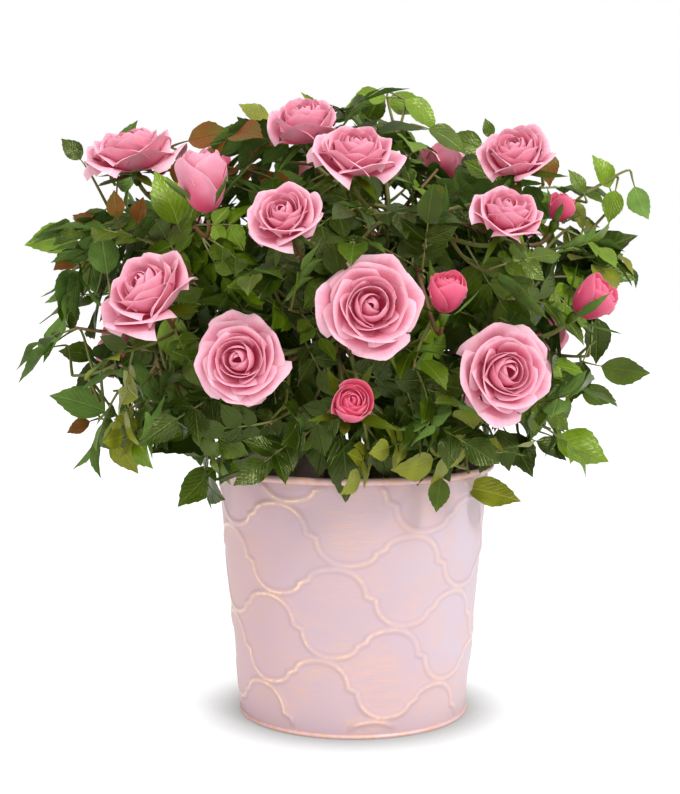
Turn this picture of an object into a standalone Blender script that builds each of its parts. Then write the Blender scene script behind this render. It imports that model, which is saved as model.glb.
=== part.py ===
"""Miniature rose bush in a round embossed metal pot, built as separate solids.

Metres, +Z up. The front of the plant faces -Y and +X is to its right.
The origin is the middle of the pot's flat underside.

The pot holds a turned plug of soil. A short stem stands on the soil, ten
canes rise from its flat top, and each cane ends just below its own mass of
foliage. A mass is one solid: stems that branch from one leader, compound
leaves set round them by the golden angle, and blooms on the stem tips.
"""
import math

import bmesh
import bpy
import numpy as np
from mathutils.bvhtree import BVHTree

# Fit
TOUCH_GAP = 0.0003

# Pot: tapered tin with a rolled rim and a rolled foot
POT_HEIGHT = 0.138
POT_TOP_RADIUS = 0.0745
POT_BASE_RADIUS = 0.0618
POT_WALL = 0.0010
POT_FLOOR = 0.0012
RIM_BEAD = 0.0019
FOOT_BEAD = 0.0012
ROUND_SIDES = 32

# Soil and the short stem that stands on it
SOIL_TOP = 0.116
SOIL_CROWN = 0.004
STEM_TOP = 0.133
STEM_FLARE_RADIUS = 0.0215
STEM_TOP_RADIUS = 0.0160
STEM_SIDES = 16

# Crown: a broad dome, flatter below than above
CROWN_CENTRE = np.array([-0.011, 0.0, 0.205])
CROWN_SIDE = 0.176
CROWN_DEPTH = 0.150
CROWN_UP = 0.135
CROWN_DOWN = 0.096
SQUARENESS_ABOVE = 2.7
SQUARENESS_BELOW = 2.3
CROWN_LIMIT = 1.03

# Canes
CANE_SIDES = 6
CANE_STEPS = 5
CANE_BASE_RADIUS = 0.0019
CANE_TIP_RADIUS = 0.0012
CANE_REACH = 0.42

# Green stems inside a mass: branches leave the leader over a short stretch above its foot
FIRST_BRANCH = 0.10
BRANCH_STRETCH = 0.35
BRANCH_FOLLOWS_LEADER = 0.4
BLOOM_STEM_SUNK = 0.6
STEM_STEP = 0.022
LEADER_RADIUS = 0.0020
BRANCH_RADIUS = 0.0015
STEM_TIP_RADIUS = 0.0013
GROWTH_SEED = 410

# Leaves: a stalk, a pair of side leaflets and an end leaflet in one thin blade
LEAF_SPACING = 0.016
LEAF_TRIES = 8
BARE_FOOT = 0.010
BARE_NECK = 0.012
ROOT_SUNK = 0.002
FACE_SCATTER = 0.40
TIP_SCATTER = 0.35
LEAF_SIZES = (1.0, 0.80, 0.62)
STALK_TO_PAIR = 0.0145
STALK_TO_END = 0.0245
STALK_HALF_WIDTH = 0.0007
STALK_HEIGHT = 0.0010
LEAFLET_LENGTH = 0.038
LEAFLET_WIDTH = 0.026
SIDE_LEAFLET = 0.85
SIDE_LEAFLET_ANGLE = math.radians(72)
LEAFLET_WIDEST = 0.43
LEAF_THICKNESS = 0.0010
LEAF_FOLD = 0.12
LEAF_ARCH = 2.2
LOW_DROOP = 0.4
GOLDEN_ANGLE = math.radians(137.5)

# Clearances kept by every leaf
ANCHOR_STEP = 0.006
SPACE_MARGIN = 0.0025
CANE_CLEARANCE = 0.008
POT_CLEARANCE = 0.005
SOIL_CLEARANCE = 0.006
BLOOM_VIEW = 0.040
BLOOM_ROOM = 0.015

BLOOM_SIDES = 10
BLOOM_SCALLOP = 0.05
BUD_SIDES = 8

# A union is sound where what falls off it is under this share of its faces
SCRAP_SHARE = 0.02

# Rings of canes: name, bearings, rise of the mass above the crown's centre, radius on the stem's top
CANE_RINGS = [
    ("low", [0, 60, 120, 180, 240, 300], -4, 0.0118),
    ("mid", [30, 150, 270], 40, 0.0050),
    ("top", [200], 78, 0.0),
]

# Blooms: bearing and rise from the crown's centre, reach, width, opening, face bearing, face tilt.
# Bearing 0 is the front, 90 the right-hand side. Opening 0 is a closed bud, 1 fully open.
BLOOMS = [
    (-18, 63, 0.87, 0.036, 0.7, -20, 75),
    (7, 45, 0.84, 0.048, 0.9, 5, 50),
    (-70, 40, 0.87, 0.052, 1.0, -40, 82),
    (-37, 37, 0.79, 0.020, 0.0, -60, 80),
    (-11, 28, 0.85, 0.037, 0.9, -15, 35),
    (55, 39, 0.85, 0.038, 0.7, -20, 50),
    (41, 27, 0.82, 0.041, 0.8, 20, 50),
    (-43, 12, 0.77, 0.048, 0.9, -45, 35),
    (8, 10, 0.86, 0.050, 1.0, 5, 12),
    (25, 12, 0.80, 0.019, 0.0, 25, 60),
    (62, 9, 0.82, 0.021, 0.0, 80, 40),
    (-18, -2, 0.84, 0.045, 1.0, -10, 8),
    (36, -5, 0.81, 0.047, 1.0, 12, 8),
    (4, -11, 0.88, 0.020, 0.0, 4, 15),
    (69, 29, 0.80, 0.015, 0.0, 60, 60),
    (98, 6, 0.84, 0.046, 1.0, 98, 25),
    (118, 62, 0.86, 0.038, 0.7, 118, 75),
    (130, 34, 0.84, 0.044, 0.9, 130, 50),
    (138, -4, 0.83, 0.048, 1.0, 138, 12),
    (166, 18, 0.85, 0.047, 1.0, 166, 30),
    (176, -14, 0.86, 0.020, 0.0, 176, 30),
    (192, 48, 0.86, 0.042, 0.8, 192, 62),
    (204, -3, 0.83, 0.045, 1.0, 204, 12),
    (230, 24, 0.82, 0.048, 1.0, 230, 38),
    (243, 54, 0.84, 0.021, 0.0, 243, 80),
    (256, 0, 0.83, 0.043, 0.9, 256, 20),
]

# Leafy shoots that give the crown its outline: bearing, rise, reach
LONG_SHOOTS = [
    (-82, 18, 0.78), (-99, 27, 0.76), (-75, 3, 0.78), (-87, -8, 0.82), (-66, -15, 0.76),
    (-78, -28, 0.82), (-43, -19, 0.76), (-40, -33, 0.82), (-10, -24, 0.78), (12, -31, 0.84),
    (43, -27, 0.84), (72, -21, 0.80), (80, -8, 0.76), (91, -4, 0.80), (66, 18, 0.76),
    (93, 22, 0.84), (92, 36, 0.82), (66, 56, 0.78), (90, 72, 0.80), (-48, 82, 0.82),
    (-60, 64, 0.78), (-98, 55, 0.78), (25, -19, 0.72), (58, -15, 0.78), (-30, -12, 0.66),
    (26, 20, 0.66), (-29, 24, 0.62), (90, 30, 0.90), (-46, -36, 0.86), (47, -35, 0.88),
    (18, 2, 0.60), (52, 12, 0.62), (-62, 26, 0.64), (-30, 10, 0.60), (77, 25, 0.78),
    (150, 56, 0.78), (102, -24, 0.76),
]

# The rest of the dome is filled with shoots spread by the golden angle
FILL_SHOOTS = 32
FILL_RISE = (-31, 78)
FILL_REACH = (0.68, 0.80)
UNDER_BLOOM_REACH = 0.62
FILL_BLOOM_ANGLE = 14
FILL_SHOOT_ANGLE = 12


def unit(vector):
    return vector / np.linalg.norm(vector)


def bearing_direction(bearing, rise):
    """Unit vector at a bearing from the front and a rise above level, in degrees."""
    turn = math.radians(bearing)
    lift = math.radians(rise)
    return np.array([math.sin(turn) * math.cos(lift), -math.cos(turn) * math.cos(lift), math.sin(lift)])


def crown_share(points):
    """1 on the crown's surface, less inside it."""
    offset = np.atleast_2d(points) - CROWN_CENTRE
    above = offset[:, 2:] > 0
    power = np.where(above, SQUARENESS_ABOVE, SQUARENESS_BELOW)
    upper = np.array([CROWN_SIDE, CROWN_DEPTH, CROWN_UP])
    lower = np.array([CROWN_SIDE, CROWN_DEPTH, CROWN_DOWN])
    shares = np.abs(offset / np.where(above, upper, lower)) ** power
    return shares.sum(axis=1) ** (1 / power[:, 0])


def crown_point(bearing, rise, reach):
    direction = bearing_direction(bearing, rise)
    return CROWN_CENTRE + direction * reach / crown_share(CROWN_CENTRE + direction)[0]


def bezier(start, start_direction, end, end_direction, steps, handles=(0.38, 0.30)):
    """Points along a cubic curve that leaves and arrives in the given directions."""
    span = np.linalg.norm(end - start)
    first = start + start_direction * span * handles[0]
    second = end - end_direction * span * handles[1]
    t = np.linspace(0, 1, steps + 1)[:, None]
    return (1 - t) ** 3 * start + 3 * (1 - t) ** 2 * t * first + 3 * (1 - t) * t ** 2 * second + t ** 3 * end


def path_length(points):
    return np.linalg.norm(np.diff(points, axis=0), axis=1).sum()


def along(points, distance):
    """Point and tangent at a distance along a path."""
    steps = np.linalg.norm(np.diff(points, axis=0), axis=1)
    ends = np.concatenate([[0], np.cumsum(steps)])
    index = min(max(int(np.searchsorted(ends, distance)) - 1, 0), len(steps) - 1)
    share = (distance - ends[index]) / steps[index]
    leg = points[index + 1] - points[index]
    return points[index] + leg * share, unit(leg)


def square_to(direction, near):
    """Unit vector square to a direction, as near as it can be to another."""
    return unit(near - direction * np.dot(near, direction))


# ---- mesh helpers

def material(name, colour, roughness, metallic=0.0):
    made = bpy.data.materials.new(name)
    made.use_nodes = True
    shader = made.node_tree.nodes["Principled BSDF"]
    shader.inputs["Base Color"].default_value = (*colour, 1.0)
    shader.inputs["Roughness"].default_value = roughness
    shader.inputs["Metallic"].default_value = metallic
    made.diffuse_color = (*colour, 1.0)
    return made


def new_object(name, mesh, materials):
    made = bpy.data.objects.new(name, mesh)
    bpy.context.scene.collection.objects.link(made)
    for entry in materials:
        mesh.materials.append(entry)
    return made


def mesh_from(name, vertices, faces):
    """Mesh of one closed body, with its faces turned outwards."""
    mesh = bpy.data.meshes.new(name)
    mesh.from_pydata([tuple(vertex) for vertex in vertices], [], faces)
    work = bmesh.new()
    work.from_mesh(mesh)
    bmesh.ops.recalc_face_normals(work, faces=work.faces)
    work.to_mesh(mesh)
    work.free()
    return mesh


def turned(name, profile, sides):
    """Solid turned about Z from a half section whose two ends lie on the axis."""
    work = bmesh.new()
    line = [work.verts.new((radius, 0, height)) for radius, height in profile]
    edges = [work.edges.new(pair) for pair in zip(line, line[1:])]
    bmesh.ops.spin(work, geom=line + edges, cent=(0, 0, 0), axis=(0, 0, 1), angle=math.tau, steps=sides)
    bmesh.ops.remove_doubles(work, verts=work.verts, dist=1e-6)
    bmesh.ops.recalc_face_normals(work, faces=work.faces)
    mesh = bpy.data.meshes.new(name)
    work.to_mesh(mesh)
    work.free()
    mesh.shade_smooth()
    mesh.set_sharp_from_angle(angle=math.radians(35))
    return mesh


def arc(centre, radius, start, stop, steps):
    """Points round part of a circle in the half section, angles in degrees."""
    angles = np.radians(np.linspace(start, stop, steps + 1))
    return [(centre[0] + radius * math.cos(a), centre[1] + radius * math.sin(a)) for a in angles]


def tube(name, points, radii, sides, start_direction, end_direction, roll=0.0):
    """Tapering round limb along a path, with a flat end square to the path at each end."""
    tangents = np.gradient(points, axis=0)
    tangents[0] = start_direction
    tangents[-1] = end_direction
    angles = roll + np.arange(sides) * math.tau / sides
    across = square_to(unit(tangents[0]), np.array([0.31, 0.87, 0.38]))
    rings = []
    for point, radius, tangent in zip(points, radii, tangents):
        axis = unit(tangent)
        across = square_to(axis, across)
        beside = np.cross(axis, across)
        rings.append(point + radius * (np.outer(np.cos(angles), across) + np.outer(np.sin(angles), beside)))
    faces = [tuple(range(sides))[::-1], tuple(range(len(points) * sides - sides, len(points) * sides))]
    for ring in range(len(points) - 1):
        for side in range(sides):
            a = ring * sides + side
            b = ring * sides + (side + 1) % sides
            faces.append((a, b, b + sides, a + sides))
    return mesh_from(name, np.vstack(rings), faces)


# ---- pot, soil and short stem

def pot_profile():
    """Underside, foot bead, wall, rim bead and the inside down to the floor."""
    foot = arc((POT_BASE_RADIUS, FOOT_BEAD), FOOT_BEAD, -90, 75, 3)
    rim = arc((POT_TOP_RADIUS + RIM_BEAD / 2, POT_HEIGHT - RIM_BEAD), RIM_BEAD, -130, 165, 5)
    under_rim = POT_HEIGHT - 2 * RIM_BEAD
    inside = [(inner_radius(under_rim), under_rim), (inner_radius(POT_FLOOR), POT_FLOOR), (0, POT_FLOOR)]
    return [(0, 0)] + foot + rim + inside


def outer_radius(height):
    return POT_BASE_RADIUS + (POT_TOP_RADIUS - POT_BASE_RADIUS) * height / POT_HEIGHT


def inner_radius(height):
    return outer_radius(height) - POT_WALL


def soil_profile():
    """Plug of compost, 0.3 mm clear of the pot, a little mounded round the stem."""
    floor = POT_FLOOR + TOUCH_GAP
    flat = STEM_FLARE_RADIUS + 0.003
    return [
        (0, floor),
        (inner_radius(floor) - TOUCH_GAP, floor),
        (inner_radius(SOIL_TOP) - TOUCH_GAP, SOIL_TOP),
        ((flat + inner_radius(SOIL_TOP)) / 2, SOIL_TOP + SOIL_CROWN * 0.7),
        (flat, SOIL_TOP + SOIL_CROWN),
        (0, SOIL_TOP + SOIL_CROWN),
    ]


def stem_profile():
    """Short stem: a flat cut on the soil, a flare, and a flat top that carries the canes."""
    foot = SOIL_TOP + SOIL_CROWN + TOUCH_GAP
    rise = STEM_TOP - foot
    steps = np.linspace(0, 1, 5)
    flare = STEM_TOP_RADIUS + (STEM_FLARE_RADIUS - STEM_TOP_RADIUS) * (1 - steps) ** 2.2
    side = list(zip(flare, foot + steps * rise))
    return [(0, foot)] + side + [(0, STEM_TOP)]


# ---- layout of the growth

def cane_sites():
    """Each cane's name, direction of its mass, foot, tip and tip direction."""
    sites = []
    for ring, bearings, rise, foot_radius in CANE_RINGS:
        for number, bearing in enumerate(bearings, 1):
            outward = bearing_direction(bearing, rise)
            foot = bearing_direction(bearing, 0) * foot_radius + np.array([0, 0, STEM_TOP + TOUCH_GAP])
            tip = crown_point(bearing, rise, CANE_REACH)
            lean = unit(outward + np.array([0, 0, 0.45]))
            sites.append({"name": f"{ring}_{number}", "outward": outward, "foot": foot, "tip": tip, "lean": lean})
    return sites


def angle_between(a, b):
    return math.degrees(math.acos(np.clip(np.dot(a, b), -1, 1)))


def shoot_list():
    """Every shoot: where it ends, which way its end points, and its bloom if it has one."""
    shoots = []
    for bearing, rise, reach, width, opening, face_bearing, face_tilt in BLOOMS:
        face = bearing_direction(face_bearing, face_tilt)
        shoots.append({
            "direction": bearing_direction(bearing, rise), "end": crown_point(bearing, rise, reach),
            "end_direction": face, "width": width, "opening": opening,
        })
    for bearing, rise, reach in LONG_SHOOTS:
        shoots.append({"direction": bearing_direction(bearing, rise), "end": crown_point(bearing, rise, reach)})
    for index in range(FILL_SHOOTS):
        share = (index + 0.5) / FILL_SHOOTS
        low, high = (math.sin(math.radians(angle)) for angle in FILL_RISE)
        rise = math.degrees(math.asin(low + (high - low) * share))
        bearing = math.degrees(GOLDEN_ANGLE) * index
        direction = bearing_direction(bearing, rise)
        nearest_bloom = min(angle_between(direction, shoot["direction"]) for shoot in shoots if "width" in shoot)
        nearest_leafy = min(angle_between(direction, shoot["direction"]) for shoot in shoots if "width" not in shoot)
        if nearest_leafy > FILL_SHOOT_ANGLE:
            reach = np.random.default_rng(GROWTH_SEED + index).uniform(*FILL_REACH)
            if nearest_bloom < FILL_BLOOM_ANGLE:
                reach = UNDER_BLOOM_REACH
            shoots.append({"direction": direction, "end": crown_point(bearing, rise, reach)})
    for shoot in shoots:
        outward = unit(shoot["end"] - CROWN_CENTRE)
        shoot.setdefault("end_direction", unit(outward + np.array([0, 0, 0.15])))
    return shoots


def grow_stems(sites, shoots):
    """Give each shoot to the nearest cane: the straightest becomes the leader, the rest branch from it."""
    for site in sites:
        site["shoots"] = []
    for shoot in shoots:
        nearest = max(sites, key=lambda site: np.dot(site["outward"], shoot["direction"]))
        nearest["shoots"].append(shoot)
    for site in sites:
        start = site["tip"] + site["lean"] * TOUCH_GAP
        site["shoots"].sort(key=lambda shoot: -np.dot(unit(shoot["end"] - start), site["lean"]))
        leader = site["shoots"][0]
        for number, shoot in enumerate(site["shoots"]):
            foot, tangent = start, site["lean"]
            if number:
                share = FIRST_BRANCH + BRANCH_STRETCH * number / len(site["shoots"])
                foot, tangent = along(leader["path"], share * path_length(leader["path"]))
                tangent = unit(BRANCH_FOLLOWS_LEADER * tangent + unit(shoot["end"] - foot))
            end = shoot["end"]
            if "width" in shoot:
                depth = shoot["width"] * bloom_depth(shoot["opening"])
                end = end - shoot["end_direction"] * depth * BLOOM_STEM_SUNK
            steps = max(3, round(np.linalg.norm(end - foot) / STEM_STEP))
            shoot["path"] = bezier(foot, tangent, end, shoot["end_direction"], steps)
            shoot["start_direction"] = tangent


def leaf_outline():
    """Right half of the blade in its own plane, along and across, and the middles of its leaflets."""
    pair = np.array([STALK_TO_PAIR, 0.0])
    way = np.array([math.cos(SIDE_LEAFLET_ANGLE), math.sin(SIDE_LEAFLET_ANGLE)])
    back = np.array([-way[1], way[0]])
    length = LEAFLET_LENGTH * SIDE_LEAFLET
    half = LEAFLET_WIDTH * SIDE_LEAFLET / 2
    side_middle = pair + way * length * LEAFLET_WIDEST
    end_middle = np.array([STALK_TO_END + LEAFLET_LENGTH * LEAFLET_WIDEST, 0.0])
    outline = [
        (0.0, STALK_HALF_WIDTH),
        (STALK_TO_PAIR - 0.0015, STALK_HALF_WIDTH),
        side_middle + back * half,
        pair + way * length,
        side_middle - back * half,
        (STALK_TO_END - 0.001, STALK_HALF_WIDTH),
        end_middle + np.array([0.0, LEAFLET_WIDTH / 2]),
        (STALK_TO_END + LEAFLET_LENGTH, 0.0),
    ]
    return np.array(outline), side_middle, end_middle


def leaf_blade():
    """Corners and faces of one leaf with its root at the origin, its tip along +X and its face along +Z.

    The rim is shared by a smooth upper side and a ridged lower side, so the edges are sharp.
    """
    outline, side_middle, end_middle = leaf_outline()
    right = [(along, across, 0) for along, across in outline]
    left = [(along, -across, 0) for along, across in outline[:-1]]
    ridges = [
        (outline[0][0], 0, -STALK_HEIGHT), (STALK_TO_PAIR + 0.003, 0, -STALK_HEIGHT),
        (*side_middle, -LEAF_THICKNESS), (side_middle[0], -side_middle[1], -LEAF_THICKNESS),
        (*end_middle, -LEAF_THICKNESS),
    ]
    stalk, fork, end = 15, 16, 19
    upper = [(0, 8, 9), (0, 9, 1), (1, 9, 13), (1, 13, 5), (5, 13, 7), (5, 7, 6), (13, 14, 7)]
    lower = []
    for rim, middle in (([0, 1, 2, 3, 4, 5, 6, 7], 17), ([8, 9, 10, 11, 12, 13, 14, 7], 18)):
        upper += [(rim[1], rim[4], rim[2]), (rim[2], rim[4], rim[3]), (rim[1], rim[5], rim[4])]
        lower += [
            (stalk, rim[0], rim[1]), (stalk, rim[1], fork), (fork, rim[1], middle),
            (rim[1], rim[2], middle), (rim[2], rim[3], middle), (rim[3], rim[4], middle),
            (rim[4], rim[5], middle), (rim[5], fork, middle), (fork, rim[5], end),
            (rim[5], rim[6], end), (rim[6], rim[7], end),
        ]
    corners = np.array(right + left + ridges)
    corners[:, 2] += LEAF_FOLD * np.abs(corners[:, 1])
    corners[:, 2] -= LEAF_ARCH * (corners[:, 0] ** 2 + corners[:, 1] ** 2)
    return corners, upper + lower + [(0, 8, stalk)]


LEAF_CORNERS, LEAF_FACES = leaf_blade()
STALK_CORNERS = {0, 1, 8, 9, 15, 16}


def leaf_corners(leaf, size):
    """A leaf's corners where it grows."""
    beside = np.cross(leaf["face"], leaf["direction"])
    axes = np.array([leaf["direction"], beside, leaf["face"]])
    return leaf["root"] + size * LEAF_CORNERS @ axes


def droop(outward):
    """How far leaves hang: a little everywhere, and more under the crown's waist."""
    return np.array([0, 0, -0.2 - LOW_DROOP * max(0.0, -outward[2])])


def leaf_sites(shoot, seed):
    """Places for leaves along a stem. Each is a list of ways that one leaf may grow there, best first."""
    draw = np.random.default_rng(seed)
    path = shoot["path"]
    length = path_length(path)
    turn = draw.uniform(0, math.tau)
    last = length - (BARE_NECK if "width" in shoot else ROOT_SUNK)
    sites = []
    distance = max(0.2 * length, BARE_FOOT)
    while distance < last:
        point, tangent = along(path, distance)
        outward = unit(point - CROWN_CENTRE)
        across = square_to(tangent, np.array([0.2, 0.3, 0.93]))
        beside = np.cross(tangent, across)
        ways = []
        for _ in range(LEAF_TRIES):
            turn += GOLDEN_ANGLE
            spoke = math.cos(turn) * across + math.sin(turn) * beside
            direction = unit(0.35 * tangent + spoke + 0.35 * outward + droop(outward))
            face = unit(outward + np.array([0, 0, 0.3]) + draw.normal(0, FACE_SCATTER, 3))
            ways.append({"root": point, "direction": direction, "face": square_to(direction, face)})
        sites.append(ways)
        distance += LEAF_SPACING
    if "width" not in shoot:
        point, tangent = path[-1], shoot["end_direction"]
        ways = []
        outward = unit(point - CROWN_CENTRE)
        for _ in range(LEAF_TRIES):
            direction = unit(tangent + draw.normal(0, TIP_SCATTER, 3) + droop(outward))
            face = square_to(direction, unit(outward + np.array([0, 0, 0.5])))
            ways.append({"root": point - tangent * ROOT_SUNK, "direction": direction, "face": face})
        sites.append(ways)
    return sites


# ---- the space that each mass keeps to

def blade_points(corners):
    """Corners of a leaf's rim, and the middles of its edges and faces, used to test where it reaches."""
    middles = corners[np.array(LEAF_FACES)].mean(axis=1)
    rim = corners[1:15]
    return np.vstack([rim, middles, (rim + np.roll(rim, 1, axis=0)) / 2])


def clear_of_pot(points):
    radius = np.hypot(points[:, 0], points[:, 1])
    height = np.clip(points[:, 2], 0, POT_HEIGHT)
    from_wall = np.hypot(radius - outer_radius(height), points[:, 2] - height)
    above_soil = (points[:, 2] > SOIL_TOP + SOIL_CROWN + SOIL_CLEARANCE) | (radius > POT_TOP_RADIUS)
    return bool(np.all((from_wall > POT_CLEARANCE) & above_soil))


def distance_to_segment(points, start, end):
    leg = end - start
    share = np.clip((points - start) @ leg / np.dot(leg, leg), 0, 1)
    return np.linalg.norm(points - start - share[:, None] * leg, axis=1)


class Space:
    """Tells whether points lie in a mass's own space: nearer to its stems and blooms than to any other's."""

    def __init__(self, sites):
        self.canes = np.vstack([site["cane"] for site in sites])
        anchors, owners, sizes = [], [], []
        for number, site in enumerate(sites):
            for shoot in site["shoots"]:
                length = path_length(shoot["path"])
                spots = [along(shoot["path"], d)[0] for d in np.arange(0, length, ANCHOR_STEP)]
                anchors += spots
                sizes += [0.0] * len(spots)
                owners += [number] * len(spots)
                if "width" in shoot:
                    anchors.append(shoot["end"])
                    sizes.append(shoot["width"] / 2)
                    owners.append(number)
        self.anchors = np.array(anchors)
        self.sizes = np.array(sizes)
        self.owners = np.array(owners)
        self.blooms = [shoot for site in sites for shoot in site["shoots"] if "width" in shoot]

    def holds(self, points, number):
        reach = np.linalg.norm(points[:, None] - self.anchors[None], axis=2) - self.sizes
        own = reach[:, self.owners == number].min(axis=1)
        other = reach[:, self.owners != number].min(axis=1)
        if np.any(own + SPACE_MARGIN > other) or np.any(crown_share(points) > CROWN_LIMIT):
            return False
        if np.linalg.norm(points[:, None] - self.canes[None], axis=2).min() < CANE_CLEARANCE:
            return False
        return clear_of_pot(points)

    def hides_bloom(self, points):
        """True where points lie in a bloom or in front of its face."""
        for bloom in self.blooms:
            centre = bloom["end"]
            ahead = centre + bloom["end_direction"] * BLOOM_VIEW
            outward = centre + unit(centre - CROWN_CENTRE) * BLOOM_ROOM
            radius = bloom["width"] * 0.5
            if distance_to_segment(points, centre, ahead).min() < radius:
                return True
            if distance_to_segment(points, centre, outward).min() < radius:
                return True
        return False


# ---- solids of a mass

def bloom_depth(opening):
    """Depth of the cup below a bloom's middle, as a share of its width."""
    return 0.34 + 0.18 * (1 - opening)


def bloom_mesh(shoot):
    """Cup with a scalloped rim and a domed middle, or a pointed bud."""
    width, opening = shoot["width"], shoot["opening"]
    axis = shoot["end_direction"]
    across = square_to(axis, np.array([0.35, 0.25, 0.90]) if abs(axis[2]) < 0.9 else np.array([1.0, 0.2, 0.0]))
    beside = np.cross(axis, across)
    if opening == 0:
        sides, scallop = BUD_SIDES, 0.0
        rings = [(0.34, -0.42), (0.50, -0.08), (0.36, 0.34)]
        low, high = -0.62, 0.62
    else:
        sides, scallop = BLOOM_SIDES, BLOOM_SCALLOP
        rings = [(0.31, -0.25), (0.49, 0.02), (0.29, 0.18 + 0.08 * (1 - opening))]
        low, high = -bloom_depth(opening), 0.23 + 0.10 * (1 - opening)
    vertices = [shoot["end"] + axis * width * low]
    for ring, (radius, height) in enumerate(rings):
        for side in range(sides):
            turn = math.tau * (side + 0.5 * ring) / sides
            wave = 1 + scallop * (-1) ** side * (ring == 1)
            spoke = math.cos(turn) * across + math.sin(turn) * beside
            vertices.append(shoot["end"] + width * (spoke * radius * wave + axis * height))
    vertices.append(shoot["end"] + axis * width * high)
    top = len(vertices) - 1
    faces = []
    for side in range(sides):
        after = (side + 1) % sides
        faces.append((0, 1 + after, 1 + side))
        faces.append((top - sides + side, top - sides + after, top))
        for ring in range(len(rings) - 1):
            a, b = 1 + ring * sides + side, 1 + ring * sides + after
            faces.append((a, b, a + sides))
            faces.append((b, b + sides, a + sides))
    return mesh_from("bloom", vertices, faces)


def bodies_of(work):
    """Faces of each separate body, the largest body first."""
    unseen = set(work.faces)
    bodies = []
    while unseen:
        body = []
        front = [unseen.pop()]
        while front:
            face = front.pop()
            body.append(face)
            for other in {other for edge in face.edges for other in edge.link_faces} & unseen:
                unseen.remove(other)
                front.append(other)
        bodies.append(body)
    return sorted(bodies, key=len, reverse=True)


def cut_to_triangles(work):
    """Triangles all over. Where two flat faces would share a diagonal, one gets a corner halfway along it."""
    flat = work.faces.layers.int.new("flat")
    for index, face in enumerate(work.faces):
        face[flat] = index
    bmesh.ops.triangulate(work, faces=work.faces)
    for edge in [edge for edge in work.edges if len(edge.link_faces) > 2]:
        halves = [face for face in edge.link_faces if face[flat] == edge.link_faces[0][flat]]
        middle = work.verts.new((edge.verts[0].co + edge.verts[1].co) / 2)
        for face in halves:
            for end in edge.verts:
                work.faces.new([middle if corner is end else corner for corner in face.verts], face)
        bmesh.ops.delete(work, geom=halves, context="FACES_ONLY")


def clean_union(mesh):
    """Drop loose scraps and the walls of sealed hollows. Returns the places where the rest isn't sound."""
    work = bmesh.new()
    work.from_mesh(mesh)
    main, *extra = bodies_of(work)
    scraps = [face for body in extra for face in body]
    flaws = []
    if len(scraps) > SCRAP_SHARE * len(main):
        flaws = [face.calc_center_median() for face in scraps]
    bmesh.ops.delete(work, geom=scraps, context="FACES")
    cut_to_triangles(work)
    flaws += [(edge.verts[0].co + edge.verts[1].co) / 2 for edge in work.edges if not edge.is_manifold]
    work.to_mesh(mesh)
    work.free()
    return flaws


def union_of(base, solver):
    base.modifiers["fused"].solver = solver
    depsgraph = bpy.context.evaluated_depsgraph_get()
    return bpy.data.meshes.new_from_object(base.evaluated_get(depsgraph))


def fuse(name, base_mesh, part_meshes, materials):
    """One union of a base with a collection of parts, applied, with the parts then removed.

    Where neither solver gives a sound body, the part nearest to the flaw is left out.
    """
    base = new_object(name, base_mesh, materials)
    parts = bpy.data.collections.new(name + "_parts")
    bpy.context.scene.collection.children.link(parts)
    for mesh in part_meshes:
        for entry in materials:
            mesh.materials.append(entry)
        parts.objects.link(bpy.data.objects.new(name + "_part", mesh))
    union = base.modifiers.new("fused", "BOOLEAN")
    union.operation = "UNION"
    union.operand_type = "COLLECTION"
    union.collection = parts
    flaws = [None]
    while flaws:
        for solver in ("EXACT", "MANIFOLD"):
            fused = union_of(base, solver)
            flaws = clean_union(fused)
            if not flaws:
                break
        if flaws:
            leaves = [part for part in parts.objects if part.data.name.startswith("leaf")]
            nearest = min(leaves, key=lambda part: min((v.co - flaws[0]).length for v in part.data.vertices))
            bpy.data.objects.remove(nearest)
    base.modifiers.clear()
    base.data = fused
    for part in list(parts.objects):
        bpy.data.objects.remove(part)
    bpy.data.collections.remove(parts)
    return base


def stem_tube(shoot, base_radius, roll=0.0):
    radii = np.linspace(base_radius, STEM_TIP_RADIUS, len(shoot["path"]))
    return tube("stem", shoot["path"], radii, 3, shoot["start_direction"], shoot["end_direction"], roll)


def mass_parts(site, number, space, shoot_numbers):
    """Meshes of one mass: stems and blooms, then the leaves that keep to the space, outermost first."""
    leader = site["shoots"][0]
    trunk = stem_tube(leader, LEADER_RADIUS)
    branches = [stem_tube(shoot, BRANCH_RADIUS, turn) for turn, shoot in enumerate(site["shoots"][1:], 1)]
    parts = list(branches)
    for shoot in site["shoots"]:
        if "width" in shoot:
            bloom = bloom_mesh(shoot)
            for face in bloom.polygons:
                face.material_index = 1
            parts.append(bloom)
    stems = []
    for mesh in [trunk] + branches:
        stems.append(BVHTree.FromPolygons([v.co for v in mesh.vertices], [list(f.vertices) for f in mesh.polygons]))
    places = [ways for shoot in site["shoots"] for ways in leaf_sites(shoot, GROWTH_SEED + shoot_numbers[id(shoot)])]
    places.sort(key=lambda ways: -crown_share(ways[0]["root"])[0])
    blade_faces = [face for face in LEAF_FACES if not STALK_CORNERS.issuperset(face)]
    placed = []

    def fits(corners):
        points = blade_points(corners)
        if not space.holds(points, number) or space.hides_bloom(points):
            return False
        whole = BVHTree.FromPolygons(corners, LEAF_FACES)
        if any(whole.overlap(other) for other in placed):
            return False
        blade = BVHTree.FromPolygons(corners, blade_faces)
        if any(blade.overlap(stem) for stem in stems):
            return False
        placed.append(whole)
        return True

    for ways in places:
        shapes = (leaf_corners(leaf, size) for size in LEAF_SIZES for leaf in ways)
        chosen = next((corners for corners in shapes if fits(corners)), None)
        if chosen is not None:
            parts.append(mesh_from("leaf", chosen, LEAF_FACES))
    return trunk, parts


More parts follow.
